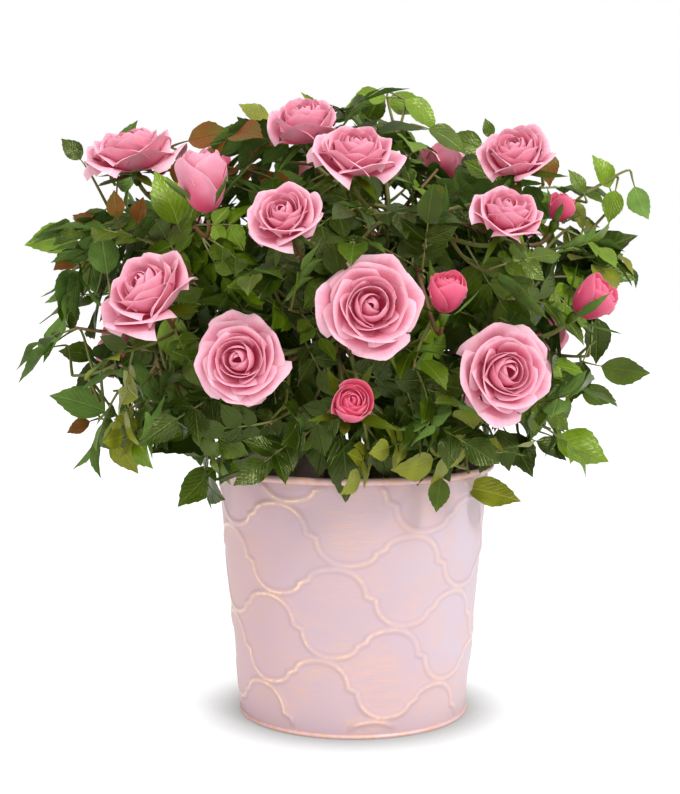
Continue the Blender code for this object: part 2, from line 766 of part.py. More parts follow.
def build():
    for item in list(bpy.data.objects):
        bpy.data.objects.remove(item)

    tin = material("pink_tin", (0.83, 0.56, 0.60), 0.38, 0.35)
    compost = material("compost", (0.05, 0.03, 0.02), 0.95)
    old_wood = material("old_wood", (0.16, 0.10, 0.05), 0.80)
    green_cane = material("green_cane", (0.16, 0.20, 0.05), 0.60)
    leaf_green = material("leaf_green", (0.07, 0.17, 0.03), 0.45)
    petal_pink = material("petal_pink", (0.83, 0.27, 0.36), 0.60)

    new_object("pot", turned("pot", pot_profile(), ROUND_SIDES), [tin])
    new_object("soil", turned("soil", soil_profile(), ROUND_SIDES), [compost])
    new_object("stem", turned("stem", stem_profile(), STEM_SIDES), [old_wood])

    sites = cane_sites()
    shoots = shoot_list()
    for site in sites:
        up = np.array([0.0, 0.0, 1.0])
        site["cane"] = bezier(site["foot"], up, site["tip"], site["lean"], CANE_STEPS, (0.45, 0.35))
        radii = np.linspace(CANE_BASE_RADIUS, CANE_TIP_RADIUS, CANE_STEPS + 1)
        cane = tube("cane", site["cane"], radii, CANE_SIDES, up, site["lean"])
        new_object("cane_" + site["name"], cane, [green_cane])
    grow_stems(sites, shoots)
    space = Space(sites)
    shoot_numbers = {id(shoot): number for number, shoot in enumerate(shoots)}
    for number, site in enumerate(sites):
        leader, parts = mass_parts(site, number, space, shoot_numbers)
        fuse("foliage_" + site["name"], leader, parts, [leaf_green, petal_pink])


build()
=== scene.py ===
import math

import bpy
import numpy as np
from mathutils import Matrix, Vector


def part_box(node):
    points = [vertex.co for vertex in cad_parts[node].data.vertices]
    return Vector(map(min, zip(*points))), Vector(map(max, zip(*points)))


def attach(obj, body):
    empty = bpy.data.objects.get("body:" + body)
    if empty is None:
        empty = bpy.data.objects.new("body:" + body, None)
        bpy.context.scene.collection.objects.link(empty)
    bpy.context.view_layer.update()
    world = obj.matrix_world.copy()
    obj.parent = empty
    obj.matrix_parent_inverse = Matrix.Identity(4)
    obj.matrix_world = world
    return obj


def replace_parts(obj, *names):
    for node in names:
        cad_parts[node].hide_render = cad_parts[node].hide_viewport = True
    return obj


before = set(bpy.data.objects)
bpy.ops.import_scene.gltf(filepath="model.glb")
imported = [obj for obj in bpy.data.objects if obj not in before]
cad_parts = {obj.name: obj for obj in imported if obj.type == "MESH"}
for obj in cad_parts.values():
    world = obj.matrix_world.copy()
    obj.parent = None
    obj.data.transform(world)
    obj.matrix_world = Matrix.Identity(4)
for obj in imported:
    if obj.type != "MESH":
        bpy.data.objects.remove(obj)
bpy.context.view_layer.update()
goldenAngle = math.radians(137.5)
upward = np.array([0.0, 0.0, 1.0])
print("frame loaded")


# small vector helpers, each on whole rows

def unitRows(rows):
    # each row over its own length
    return rows / np.maximum(np.linalg.norm(rows, axis=-1, keepdims=True), 1e-12)


def squareTo(direction, near):
    # near less its share along direction, made unit length
    return unitRows(near - direction * np.sum(near * direction, axis=-1, keepdims=True))


def bearingDirection(bearing, rise):
    # bearing 0 is the front, 90 the right-hand side, rise is above level, in degrees
    turn, lift = math.radians(bearing), math.radians(rise)
    return np.array([math.sin(turn) * math.cos(lift), -math.cos(turn) * math.cos(lift), math.sin(lift)])


def turnedSpoke(angle, across, beside):
    # across turned by the angle towards beside
    return math.cos(angle) * across + math.sin(angle) * beside


def bezier(start, startDirection, end, endDirection, count, handles=(0.38, 0.30)):
    # cubic curve whose handles are shares of the span, along the two given directions
    span = np.linalg.norm(end - start)
    first, second = start + startDirection * span * handles[0], end - endDirection * span * handles[1]
    t = np.linspace(0, 1, count)[:, None]
    return (1 - t) ** 3 * start + 3 * (1 - t) ** 2 * t * first + 3 * (1 - t) * t ** 2 * second + t ** 3 * end


def pathLength(points):
    return np.linalg.norm(np.diff(points, axis=0), axis=1).sum()


def along(points, distance):
    # the point and tangent at a distance along a path
    steps = np.linalg.norm(np.diff(points, axis=0), axis=1)
    ends = np.concatenate([[0], np.cumsum(steps)])
    index = int(np.clip(np.searchsorted(ends, distance) - 1, 0, len(steps) - 1))
    leg = points[index + 1] - points[index]
    return points[index] + leg * (distance - ends[index]) / steps[index], leg / steps[index]


# meshes

def addObject(name, data):
    made = bpy.data.objects.new(name, data)
    bpy.context.scene.collection.objects.link(made)
    return made


def addPiece(name, vertices, faces, finishes, slot=None, faceFinish=None, uv=None, values=None, sharp=60):
    # faces is an array of triangles or quads, uv one pair for each vertex, values one number for each vertex
    mesh = bpy.data.meshes.new(name)
    vertices, faces = np.asarray(vertices, np.float32).reshape(-1, 3), np.asarray(faces, np.int32)
    corners = faces.ravel()
    mesh.vertices.add(len(vertices))
    mesh.vertices.foreach_set("co", vertices.ravel())
    mesh.loops.add(len(corners))
    mesh.loops.foreach_set("vertex_index", corners)
    mesh.polygons.add(len(faces))
    mesh.polygons.foreach_set("loop_start", np.arange(0, len(corners), faces.shape[1], dtype=np.int32))
    mesh.update(calc_edges=True)
    if uv is not None:
        mesh.uv_layers.new(name="pieceMap").data.foreach_set("uv", np.asarray(uv, np.float32)[corners].ravel())
    if values is not None:
        mesh.attributes.new("shade", "FLOAT", "POINT").data.foreach_set("value", np.asarray(values, np.float32))
    for finish in finishes:
        mesh.materials.append(finish)
    if faceFinish is not None:
        mesh.polygons.foreach_set("material_index", np.asarray(faceFinish, np.int32))
    mesh.shade_smooth()
    mesh.set_sharp_from_angle(angle=math.radians(sharp))
    mesh.validate()
    piece = addObject(name, mesh)
    if slot:
        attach(piece, "root")
    return piece


def joined(parts):
    # stacks (vertices, faces, per-vertex extras...) of several shapes into one, with the faces renumbered
    parts = [part for part in parts if len(part[0])]
    starts = np.cumsum([0] + [len(part[0]) for part in parts[:-1]])
    faces = np.vstack([part[1] + start for part, start in zip(parts, starts)])
    return [np.vstack([part[0] for part in parts]), faces] + [
        np.concatenate([part[extra] for part in parts]) for extra in range(2, len(parts[0]))]


def tubes(paths, radii, sides):
    # rings of a circle carried square to each path, paths (n, steps, 3), radii one for each step; flat caps
    tangents = unitRows(np.gradient(paths, axis=1))
    across = squareTo(tangents, np.array([0.31, 0.87, 0.38]) + np.zeros_like(tangents))
    beside = np.cross(tangents, across)
    angles = ringAngles(sides)
    spokes = np.cos(angles)[:, None] * across[:, :, None] + np.sin(angles)[:, None] * beside[:, :, None]
    rings = paths[:, :, None] + np.broadcast_to(radii, paths.shape[:2])[:, :, None, None] * spokes
    count, steps = paths.shape[:2]
    side = np.arange(sides)
    ring = (np.arange(steps - 1) * sides)[:, None]
    a, b = ring + side, ring + (side + 1) % sides
    walls = np.stack([a, b, b + sides, a, b + sides, a + sides], -1).reshape(-1, 3)
    fan = np.stack([np.zeros(sides - 2, int), side[1:-1], side[2:]], -1)
    one = np.vstack([walls, fan[:, ::-1], fan + (steps - 1) * sides])
    faces = (one[None] + (np.arange(count) * steps * sides)[:, None, None]).reshape(-1, 3)
    return rings.reshape(-1, 3), faces


def sheetFaces(rows, columns):
    # a grid's quads as triangles, then the same grid again turned over, the two sharing the outer edge
    index = np.arange(rows * columns).reshape(rows, columns)
    inner = index.copy()
    inner[1:-1, 1:-1] = rows * columns + np.arange((rows - 2) * (columns - 2)).reshape(rows - 2, columns - 2)

    def triangles(grid):
        a, b, c, d = grid[:-1, :-1], grid[:-1, 1:], grid[1:, 1:], grid[1:, :-1]
        return np.stack([a, b, c, a, c, d], -1).reshape(-1, 3)
    return np.vstack([triangles(index), triangles(inner)[:, ::-1]])


def ringAngles(sides):
    return np.arange(sides) * math.tau / sides


def ringQuads(rows, sides, closed=True):
    # quads between rows of rings, the last row joined to the first where the section is a closed loop
    row = np.arange(rows if closed else rows - 1)[:, None]
    start, nextStart = row * sides, (row + 1) % rows * sides
    side, after = np.arange(sides), (np.arange(sides) + 1) % sides
    return np.stack([start + side, start + after, nextStart + after, nextStart + side], -1).reshape(-1, 4)


def turnedMesh(profile, sides):
    # a closed half section, radius and height, carried round the upright axis
    radius, height = np.array(profile).T[:, :, None]
    angle = ringAngles(sides)
    points = np.stack([radius * np.sin(angle), -radius * np.cos(angle), height + 0 * angle], -1)
    return points, ringQuads(len(radius), sides)


def spokesFront(angle):
    # level unit rows at angles round the upright axis, 0 being the front
    return np.stack([np.sin(angle), -np.cos(angle), 0 * angle], -1)


# shader maths: a socket that takes part in Python sums, each operator adding its Math node

class Value:
    def __init__(self, finish, socket):
        self.finish, self.socket = finish, socket

    def maths(self, operation, *terms):
        return self.finish.node("ShaderNodeMath", {"operation": operation}, dict(enumerate(terms)))

    def __add__(self, other):
        return self.maths("ADD", self, other)

    def __sub__(self, other):
        return self.maths("SUBTRACT", self, other)

    def __rsub__(self, other):
        return self.maths("SUBTRACT", other, self)

    def __mul__(self, other):
        return self.maths("MULTIPLY", self, other)

    def __pow__(self, other):
        return self.maths("POWER", self, other)

    __radd__, __rmul__ = __add__, __mul__

    def __abs__(self):
        return self.maths("ABSOLUTE", self)

    def wave(self):
        # the sine of the value, brought to between 0 and 1
        return self.maths("SINE", self) * 0.5 + 0.5

    def ramp(self, low, high):
        # 0 at low, 1 at high, smooth between
        settings = {"interpolation_type": "SMOOTHSTEP"}
        return self.finish.node("ShaderNodeMapRange", settings, {"Value": self, "From Min": low, "From Max": high})


class Finish:
    def __init__(self, name, **sockets):
        self.material = bpy.data.materials.new(name)
        self.material.use_nodes = True
        self.nodes, self.links = self.material.node_tree.nodes, self.material.node_tree.links
        self.shader = self.nodes["Principled BSDF"]
        for socket, value in sockets.items():
            self.shader.inputs[socket.replace("_", " ")].default_value = value
        if "Base_Color" in sockets:
            self.material.diffuse_color = sockets["Base_Color"]

    def join(self, value, socket):
        if isinstance(value, Value):
            self.links.new(value.socket, socket)
        else:
            socket.default_value = value

    def node(self, kind, settings=None, sockets=None, output=0):
        made = self.nodes.new(kind)
        for name, value in (settings or {}).items():
            setattr(made, name, value)
        for name, value in (sockets or {}).items():
            self.join(value, made.inputs[name])
        return Value(self, made.outputs[output])

    def feed(self, socket, value):
        self.join(value, self.shader.inputs[socket])
        return self

    def place(self, scale=(1, 1, 1), source="Object"):
        coordinates = self.node("ShaderNodeTexCoord", output=("UV" if source == "UV" else "Object"))
        return self.node("ShaderNodeMapping", None, {"Vector": coordinates, "Scale": scale})

    def noise(self, where, scale, detail=3.0, roughness=0.5):
        sockets = {"Vector": where, "Scale": scale, "Detail": detail, "Roughness": roughness}
        return self.node("ShaderNodeTexNoise", None, sockets)

    def axes(self, where):
        made = self.nodes.new("ShaderNodeSeparateXYZ")
        self.join(where, made.inputs[0])
        return [Value(self, output) for output in made.outputs]

    def attribute(self, name):
        return self.node("ShaderNodeAttribute", {"attribute_name": name}, output="Fac")

    def mix(self, factor, first, second):
        made = self.nodes.new("ShaderNodeMix")
        made.data_type = "RGBA"
        for socket, value in ((made.inputs[0], factor), (made.inputs[6], first), (made.inputs[7], second)):
            self.join(value, socket)
        return Value(self, made.outputs[2])

    def bump(self, height, strength, distance):
        sockets = {"Height": height, "Strength": strength, "Distance": distance}
        return self.feed("Normal", self.node("ShaderNodeBump", None, sockets))


def rgb(red, green, blue):
    # a screen colour, 0 to 255, as the linear colour a shader takes
    screen = np.array([red, green, blue]) / 255
    return (*np.where(screen <= 0.04045, screen / 12.92, ((screen + 0.055) / 1.055) ** 2.4).tolist(), 1.0)


# growth: where every cane, shoot, bloom and leaf goes, by the rule the solids are made with

crown = dict(centre=np.array([-0.011, 0.0, 0.205]), sides=(0.176, 0.150), up=0.135, down=0.096,
             squareAbove=2.7, squareBelow=2.3, limit=1.03, seed=410)
canes = dict(stemTop=0.133, gap=0.0003, reach=0.42, foot=0.0020, tip=0.0013, rings=[
    ("low", [0, 60, 120, 180, 240, 300], -4, 0.0118), ("mid", [30, 150, 270], 40, 0.0050), ("top", [200], 78, 0.0)])
# bearing, rise, reach, width, opening, bearing of the face, tilt of the face
blooms = [
    (-14, 62, 0.87, 0.043, 0.5, -20, 62), (7, 46.5, 0.845, 0.0455, 0.9, 5, 57), (-76, 43, 0.89, 0.050, 1.0, -30, 73),
    (-37, 38, 0.79, 0.046, 0.15, -40, 80), (-11, 28, 0.85, 0.037, 0.9, -15, 35), (55, 41, 0.86, 0.042, 0.7, -20, 50),
    (41, 27, 0.82, 0.039, 0.8, 20, 56), (-43, 12, 0.77, 0.050, 0.9, -40, 43), (8, 9, 0.86, 0.0455, 1.0, 5, 12),
    (25, 12, 0.80, 0.039, 0.0, 10, 64), (62, 9, 0.82, 0.045, 0.01, 62, 42), (-19.5, -2, 0.84, 0.0415, 1.0, -10, 8),
    (39, -5, 0.81, 0.045, 1.0, 16, 8), (4, -11, 0.88, 0.040, 0.04, 6, 24), (69, 29, 0.80, 0.030, -0.05, 60, 66),
    (122, 3, 0.80, 0.046, 1.0, 124, 22), (128, 50, 0.80, 0.040, 0.7, 132, 62), (130, 34, 0.84, 0.044, 0.9, 130, 50),
    (138, -4, 0.83, 0.048, 1.0, 138, 12), (166, 18, 0.85, 0.047, 1.0, 166, 30), (176, -14, 0.86, 0.040, 0.0, 176, 30),
    (192, 46, 0.84, 0.042, 0.8, 192, 58), (204, -3, 0.83, 0.045, 1.0, 204, 12), (230, 24, 0.82, 0.048, 1.0, 230, 38),
    (235, 50, 0.80, 0.042, 0.0, 235, 70), (243, -2, 0.80, 0.043, 0.9, 238, 18)]
leafyShoots = [
    (-82, 18, 0.78), (-99, 27, 0.76), (-75, 3, 0.78), (-87, -8, 0.82), (-66, -15, 0.76), (-78, -28, 0.82),
    (-43, -19, 0.76), (-40, -33, 0.82), (-10, -24, 0.78), (12, -31, 0.84), (43, -27, 0.84), (72, -21, 0.80),
    (80, -8, 0.76), (91, -4, 0.80), (66, 18, 0.76), (93, 22, 0.84), (92, 36, 0.82), (66, 56, 0.78), (90, 72, 0.80),
    (-48, 82, 0.82), (-60, 64, 0.78), (-98, 55, 0.78), (25, -19, 0.72), (58, -15, 0.78), (-30, -12, 0.66),
    (26, 20, 0.66), (-29, 24, 0.62), (90, 30, 0.90), (-46, -36, 0.86), (47, -35, 0.88), (18, 2, 0.60), (52, 12, 0.62),
    (-62, 26, 0.64), (-30, 10, 0.60), (77, 25, 0.78), (150, 56, 0.78), (102, -24, 0.76)]
filling = dict(count=32, rise=(-31, 78), reach=(0.68, 0.80), underBloom=0.62, bloomAngle=14, shootAngle=12)


def crownShare(points):
    # superellipsoid: the sum of each offset over its half-size to a power, taken to one over that power
    offset = np.atleast_2d(points) - crown["centre"]
    above = offset[:, 2:] > 0
    power = np.where(above, crown["squareAbove"], crown["squareBelow"])
    halves = np.where(above, [*crown["sides"], crown["up"]], [*crown["sides"], crown["down"]])
    return (np.abs(offset / halves) ** power).sum(axis=1) ** (1 / power[:, 0])


def crownPoint(bearing, rise, reach):
    direction = bearingDirection(bearing, rise)
    return crown["centre"] + direction * reach / crownShare(crown["centre"] + direction)[0]


def outwardAt(point):
    return unitRows(point - crown["centre"])


def bloomDepth(opening):
    return 0.34 + 0.18 * (1 - opening)


def placeMasses():
    # one cane to each bearing of each ring, a mass at its tip
    made = []
    for ring, bearings, rise, footRadius in canes["rings"]:
        for number, bearing in enumerate(bearings, 1):
            outward = bearingDirection(bearing, rise)
            foot = bearingDirection(bearing, 0) * footRadius + upward * (canes["stemTop"] + canes["gap"])
            tip = crownPoint(bearing, rise, canes["reach"])
            lean = unitRows(outward + 0.45 * upward)
            cane = bezier(foot, upward, tip, lean, 24, (0.45, 0.35))
            made.append(dict(name=f"{ring}_{number}", outward=outward, tip=tip, lean=lean, cane=cane, shoots=[]))
    return made


def placeShoots():
    # blooms and leafy shoots where they are told to be, then the golden angle fills the crown where no shoot is near
    made = []

    def add(bearing, rise, reach, **more):
        made.append(dict(direction=bearingDirection(bearing, rise), end=crownPoint(bearing, rise, reach), **more))

    def angleTo(direction, blooming):
        others = [shoot["direction"] for shoot in made if ("width" in shoot) == blooming]
        return math.degrees(math.acos(min(1, max(float(np.dot(direction, other)) for other in others))))
    for bearing, rise, reach, width, opening, faceBearing, faceTilt in blooms:
        add(bearing, rise, reach, endDirection=bearingDirection(faceBearing, faceTilt), width=width, opening=opening)
    for shoot in leafyShoots:
        add(*shoot)
    low, high = (math.sin(math.radians(angle)) for angle in filling["rise"])
    for index in range(filling["count"]):
        rise = math.degrees(math.asin(low + (high - low) * (index + 0.5) / filling["count"]))
        bearing = math.degrees(goldenAngle) * index
        direction = bearingDirection(bearing, rise)
        if angleTo(direction, False) > filling["shootAngle"]:
            reach = np.random.default_rng(crown["seed"] + index).uniform(*filling["reach"])
            add(bearing, rise, filling["underBloom"] if angleTo(direction, True) < filling["bloomAngle"] else reach)
    return made


def routeShoots():
    # each shoot joins the mass that it points at; one is the mass's leader, and the others branch off along it
    for number, shoot in enumerate(shoots):
        shoot["number"] = number
        shoot.setdefault("endDirection", unitRows(outwardAt(shoot["end"]) + 0.15 * upward))
        nearest = max(sites, key=lambda site: np.dot(site["outward"], shoot["direction"]))
        nearest["shoots"].append(shoot)
        shoot["mass"] = nearest["name"]
    for site in sites:
        start = site["tip"] + site["lean"] * canes["gap"]
        site["shoots"].sort(key=lambda shoot: -np.dot(unitRows(shoot["end"] - start), site["lean"]))
        leader = site["shoots"][0]
        for number, shoot in enumerate(site["shoots"]):
            foot, tangent, end = start, site["lean"], shoot["end"]
            if number:
                share = 0.10 + 0.35 * number / len(site["shoots"])
                foot, tangent = along(leader["path"], share * pathLength(leader["path"]))
                tangent = unitRows(0.4 * tangent + unitRows(end - foot))
            if "width" in shoot:
                end = end - shoot["endDirection"] * shoot["width"] * bloomDepth(shoot["opening"]) * 0.9
            shoot["path"] = bezier(foot, tangent, end, shoot["endDirection"], 16)
            shoot["leader"] = number == 0


sites, shoots = placeMasses(), placeShoots()
routeShoots()
print("canes", len(sites), "shoots", len(shoots))

leafRule = dict(length=0.031, width=0.67, sizes=(0.74, 1.12), smaller=(1, 0.8, 0.64), spacing=0.016, tries=8,
                bareFoot=0.010, bareNeck=0.012, faceScatter=0.60, tipScatter=0.35, tipInset=0.002, lowDroop=0.4,
                room=0.0100, tipRoom=0.6, tipLimit=0.03, potRoom=0.004, soilRoom=0.008, twigEvery=3,
                twigLength=(0.024, 0.040), twigBloomRoom=1.15, betweenSeed=500, twigSeed=2000)


def droopAt(outward):
    # more the lower the place lies on the crown
    return (0.2 + leafRule["lowDroop"] * max(0.0, -outward[2])) * upward


def leafWays(shoot, seed, shift=0.0):
    # places along a stem by the golden angle, each with several ways that a leaf may grow there, best first
    draw = np.random.default_rng(seed)
    path, length = shoot["path"], pathLength(shoot["path"])
    turn = draw.uniform(0, math.tau)
    last = length - leafRule["bareNeck" if "width" in shoot else "tipInset"]
    distance, places = max(0.2 * length, leafRule["bareFoot"]) + shift, []
    while distance < last:
        point, tangent = along(path, distance)
        outward = outwardAt(point)
        across = squareTo(tangent, np.array([0.2, 0.3, 0.93]))
        beside = np.cross(tangent, across)
        ways = []
        for _ in range(leafRule["tries"]):
            turn += goldenAngle
            spoke = turnedSpoke(turn, across, beside)
            direction = unitRows(0.35 * tangent + spoke + 0.35 * outward - droopAt(outward))
            face = unitRows(outward + 0.3 * upward + draw.normal(0, leafRule["faceScatter"], 3))
            ways.append((point, direction, squareTo(direction, face)))
        places.append((distance, ways))
        distance += leafRule["spacing"]
    if "width" not in shoot and not shift:
        point, tangent = path[-1], shoot["endDirection"]
        outward = outwardAt(point)
        ways = []
        for _ in range(leafRule["tries"]):
            direction = unitRows(tangent + draw.normal(0, leafRule["tipScatter"], 3) - droopAt(outward))
            face = squareTo(direction, unitRows(outward + 0.5 * upward))
            ways.append((point - tangent * leafRule["tipInset"], direction, face))
        places.append((length, ways))
    return places


# each leaf: a stalk and rib that arch over, an end leaflet and two pairs of side leaflets

leafParts = np.array([  # share of the rib, side, size of the leaflet
    (1.0, 0, 1.0), (0.70, 1, 0.86), (0.70, -1, 0.86), (0.40, 1, 0.66), (0.40, -1, 0.66)])
leafBuild = dict(rib=1.32, stalk=0.40, ribArch=0.16, sideAngle=60, fold=0.22, arch=0.22, wave=0.09, teeth=7, toothAt=0.80,
                 toothWidthAt=0.66, toothOut=0.016, lastTooth=0.035, thickness=0.010)
bloomShoots = [shoot for shoot in shoots if "width" in shoot]
bloomCentres = np.array([shoot["end"] for shoot in bloomShoots])
bloomFaces = np.array([shoot["endDirection"] for shoot in bloomShoots])
bloomRadii = np.array([shoot["width"] / 2 for shoot in bloomShoots])
bloomBacks = bloomRadii * 0.4
potSize = dict(height=0.138, top=0.0745, base=0.0618, wall=0.001, rim=0.0019, foot=0.0012, soilTop=0.116)


def wallRadius(height):
    return potSize["base"] + (potSize["top"] - potSize["base"]) * height / potSize["height"]


# gaps through the crown and between the sprays at its edge, as the eye sees them: x, height and radius in mm
eyePoint = np.array([-0.0072, -0.829, 0.241])
openings = [
    (-106, 326, 8), (-89, 327, 8), (-73, 331, 9), (-59, 336, 5), (-10, 338, 6), (36, 336, 8), (47, 333, 8), (59, 329, 7),
    (69, 321, 4), (55, 321, 6), (65, 317, 6), (90, 327, 7), (127, 301, 7), (112, 307, 4), (132, 278, 6), (134, 276, 4),
    (-157, 288, 7), (-142, 287, 4), (-112, 287, 5), (-170, 276, 8), (-176, 272, 4), (-180, 268, 8), (-187, 252, 9),
    (-172, 249, 7), (-171, 242, 6), (-159, 242, 4), (-182, 226, 10), (-189, 222, 10), (-180, 207, 8), (-150, 214, 6),
    (-136, 211, 4), (-165, 193, 7), (-152, 190, 5), (-154, 188, 7), (-166, 185, 7), (-186, 182, 6), (-137, 174, 8),
    (-177, 170, 8), (-169, 166, 4), (-91, 176, 3), (-153, 158, 6), (-161, 155, 8), (-147, 156, 4), (-152, 149, 6),
    (-134, 137, 7), (-90, 139, 5), (-106, 132, 6), (-111, 132, 6), (-121, 124, 8), (-103, 118, 4), (-57, 123, 6),
    (-43, 122, 6), (-29, 121, 6), (-24, 121, 7), (-17, 120, 4), (21, 121, 5), (25, 114, 9), (32, 121, 4), (64, 111, 9),
    (92, 126, 5), (81, 129, 6), (106, 130, 8), (107, 152, 4), (88, 156, 6), (128, 162, 9), (130, 163, 8), (152, 158, 8),
    (149, 174, 7), (163, 174, 7), (147, 181, 6), (149, 195, 8), (163, 199, 12), (120, 203, 7), (166, 209, 7),
    (144, 211, 7), (152, 226, 5), (162, 226, 9), (165, 253, 9), (13, 260, 3), (24, 281, 4), (23, 282, 5),
    (49, 302, 6), (-26, 300, 3)]
openings = np.array(openings) / 1000
bloomSights = [(0.045, bloomFaces), (0.012, outwardAt(bloomCentres)),
               (np.where(bloomFaces[:, 1] < 0.1, 0.055, 0.0), unitRows(eyePoint - bloomCentres))]


def ribLength(size, parts):
    # a leaf of one leaflet has only a short stalk
    return leafRule["length"] * size * leafBuild["rib" if parts > 1 else "stalk"]


def ribPoints(root, direction, face, rib, share):
    # the rib is a parabola that drops away from the face
    return root + rib * share * direction - leafBuild["ribArch"] * rib * share ** 2 * face


def leafletFrames(root, direction, face, size, parts=5):
    # where each leaflet of one leaf starts, its two axes and its length
    share, side, scale = leafParts[:parts].T[:, :, None]
    rib = ribLength(size, parts)
    tangents = unitRows(rib * direction - 2 * (leafBuild["ribArch"] * rib) * share * face)
    angle = np.radians(leafBuild["sideAngle"]) * side
    ways = unitRows(np.cos(angle) * tangents + np.sin(angle) * np.cross(face, direction))
    return (ribPoints(root, direction, face, rib, share), ways, squareTo(ways, face + np.zeros_like(ways)),
            scale[:, 0] * size * leafRule["length"])


def staysClear(points, bloomRoom=1.0, limit=crown["limit"]):
    # inside the crown, out of the openings, off the pot and the soil, and not in front of a bloom's face
    if np.any(crownShare(points) > limit):
        return False
    sight = eyePoint + (points - eyePoint) * (-eyePoint[1] / (points[:, 1:2] - eyePoint[1]))
    offset = sight[:, None, ::2] - openings[:, :2]
    if np.any((offset ** 2).sum(-1) < openings[:, 2] ** 2):
        return False
    radius, height = np.hypot(points[:, 0], points[:, 1]), np.clip(points[:, 2], 0, potSize["height"])
    if np.any(np.hypot(radius - wallRadius(height), points[:, 2] - height) < leafRule["potRoom"]):
        return False
    if np.any((points[:, 2] < potSize["soilTop"] + leafRule["soilRoom"]) & (radius < potSize["top"])):
        return False
    offset = points[:, None] - bloomCentres
    for reach, axis in bloomSights:
        share = np.clip((offset * axis).sum(-1), -bloomBacks, reach)
        if np.any(np.linalg.norm(offset - share[..., None] * axis, axis=-1) < bloomRadii * bloomRoom):
            return False
    return True


# sprays that stand out at the crown's edge: where the tip shows in the plane through the pot's axis, across and up, and its
# depth behind that plane, all in mm; the angle it points at, size, leaflets, tint, and its turn about its own length
keySprays = [
    (-179, 261, -5, 180, 0.92, 3, 2, 0), (-164, 243, 0, 215, 0.64, 1, 4, 0), (-138, 265, -45, 98, 0.78, 1, 5, 180),
    (-187, 193, 0, 203, 0.70, 1, 2, 40), (-186, 183, -10, 226, 1.00, 1, 1, 65), (-161, 200, 5, 168, 0.64, 1, 1, 0),
    (-165, 177, -10, 158, 1.00, 1, 5, 0), (-153, 178, 10, 222, 0.71, 1, 0, 0), (-153, 131, 0, 232, 0.88, 1, 2, 215),
    (-121, 130, -10, 300, 0.78, 1, 3, 40), (-113, 149, 0, 332, 0.67, 1, 1, 0), (-158, 154, 0, 205, 0.46, 1, 4, 0),
    (-112, 142, -50, 212, 1.27, 1, 0, 0), (-97, 112, -40, 228, 0.92, 1, 1, 0), (-72, 124, -60, 250, 0.60, 1, 2, 180),
    (-1, 115, -82, 278, 1.06, 1, 0, 0), (46, 109, -80, 262, 0.56, 1, 1, 0), (93, 116, -45, 345, 0.95, 1, 3, 0),
    (141, 137, -10, 333, 1.02, 1, 2, 0), (100, 129, -30, 300, 0.88, 1, 0, 0), (87, 132, -40, 285, 0.74, 1, 0, 0),
    (118, 170, -10, 250, 0.78, 1, 0, 0), (144, 169, 10, 335, 0.67, 1, 1, 50), (163, 185, 0, 352, 0.88, 1, 1, 60),
    (135, 192, 10, 272, 0.81, 1, 0, 0), (155, 239, 5, 342, 0.74, 1, 1, 0), (151, 266, 0, 35, 1.27, 1, 0, 0),
    (133, 305, 0, 112, 0.64, 1, 2, 0), (119, 297, -10, 118, 0.46, 1, 1, 0), (159, 269, 5, 290, 0.64, 1, 5, 180),
    (139, 268, 0, 258, 0.60, 1, 2, 0), (-4, 334, 10, 188, 0.74, 1, 2, 0), (39, 329, 20, 340, 0.71, 1, 2, 0),
    (47, 321, 10, 322, 0.78, 1, 2, 0), (16, 339, 20, 60, 0.64, 1, 1, 0), (51, 316, 0, 160, 0.71, 1, 1, 0),
    (-61, 333, 0, 145, 0.67, 1, 3, 0), (-61, 326, 5, 125, 0.64, 1, 0, 0), (-66, 317, 5, 8, 0.81, 1, 4, 0),
    (72, 324, 0, 105, 0.35, 1, 1, 0), (-157, 314, 0, 128, 0.49, 1, 0, 0), (-131, 285, -40, 100, 0.46, 1, 4, 0),
    (-114, 282, -40, 72, 0.46, 1, 4, 0), (-152, 273, -10, 150, 0.53, 1, 4, 0), (-105, 296, -60, 108, 0.92, 1, 2, 0),
    (62, 302, -20, 150, 0.71, 1, 1, 0), (127, 210, 20, 300, 0.71, 1, 1, 0), (-66, 132, -62, 235, 0.85, 3, 0, 0),
    (-50, 130, -68, 255, 0.90, 3, 1, 0), (-34, 129, -72, 290, 0.88, 1, 0, 0), (-19, 129, -75, 262, 0.95, 1, 0, 0),
    (21, 128, -75, 285, 0.95, 3, 0, 0), (33, 125, -74, 250, 1.05, 1, 0, 0), (55, 127, -68, 300, 0.95, 3, 0, 0),
    (109, 289, -20, 285, 0.60, 1, 4, 0), (119, 141, -10, 335, 0.62, 1, 0, 0), (63, 310, -10, 335, 0.78, 1, 1, 0),
    (-90, 306, -30, 75, 0.60, 1, 4, 0), (-171, 192, -10, 246, 0.97, 1, 5, 50), (-169, 227, -10, 190, 0.60, 1, 5, 20),
    (-153, 209, -5, 285, 0.60, 1, 1, 0)]


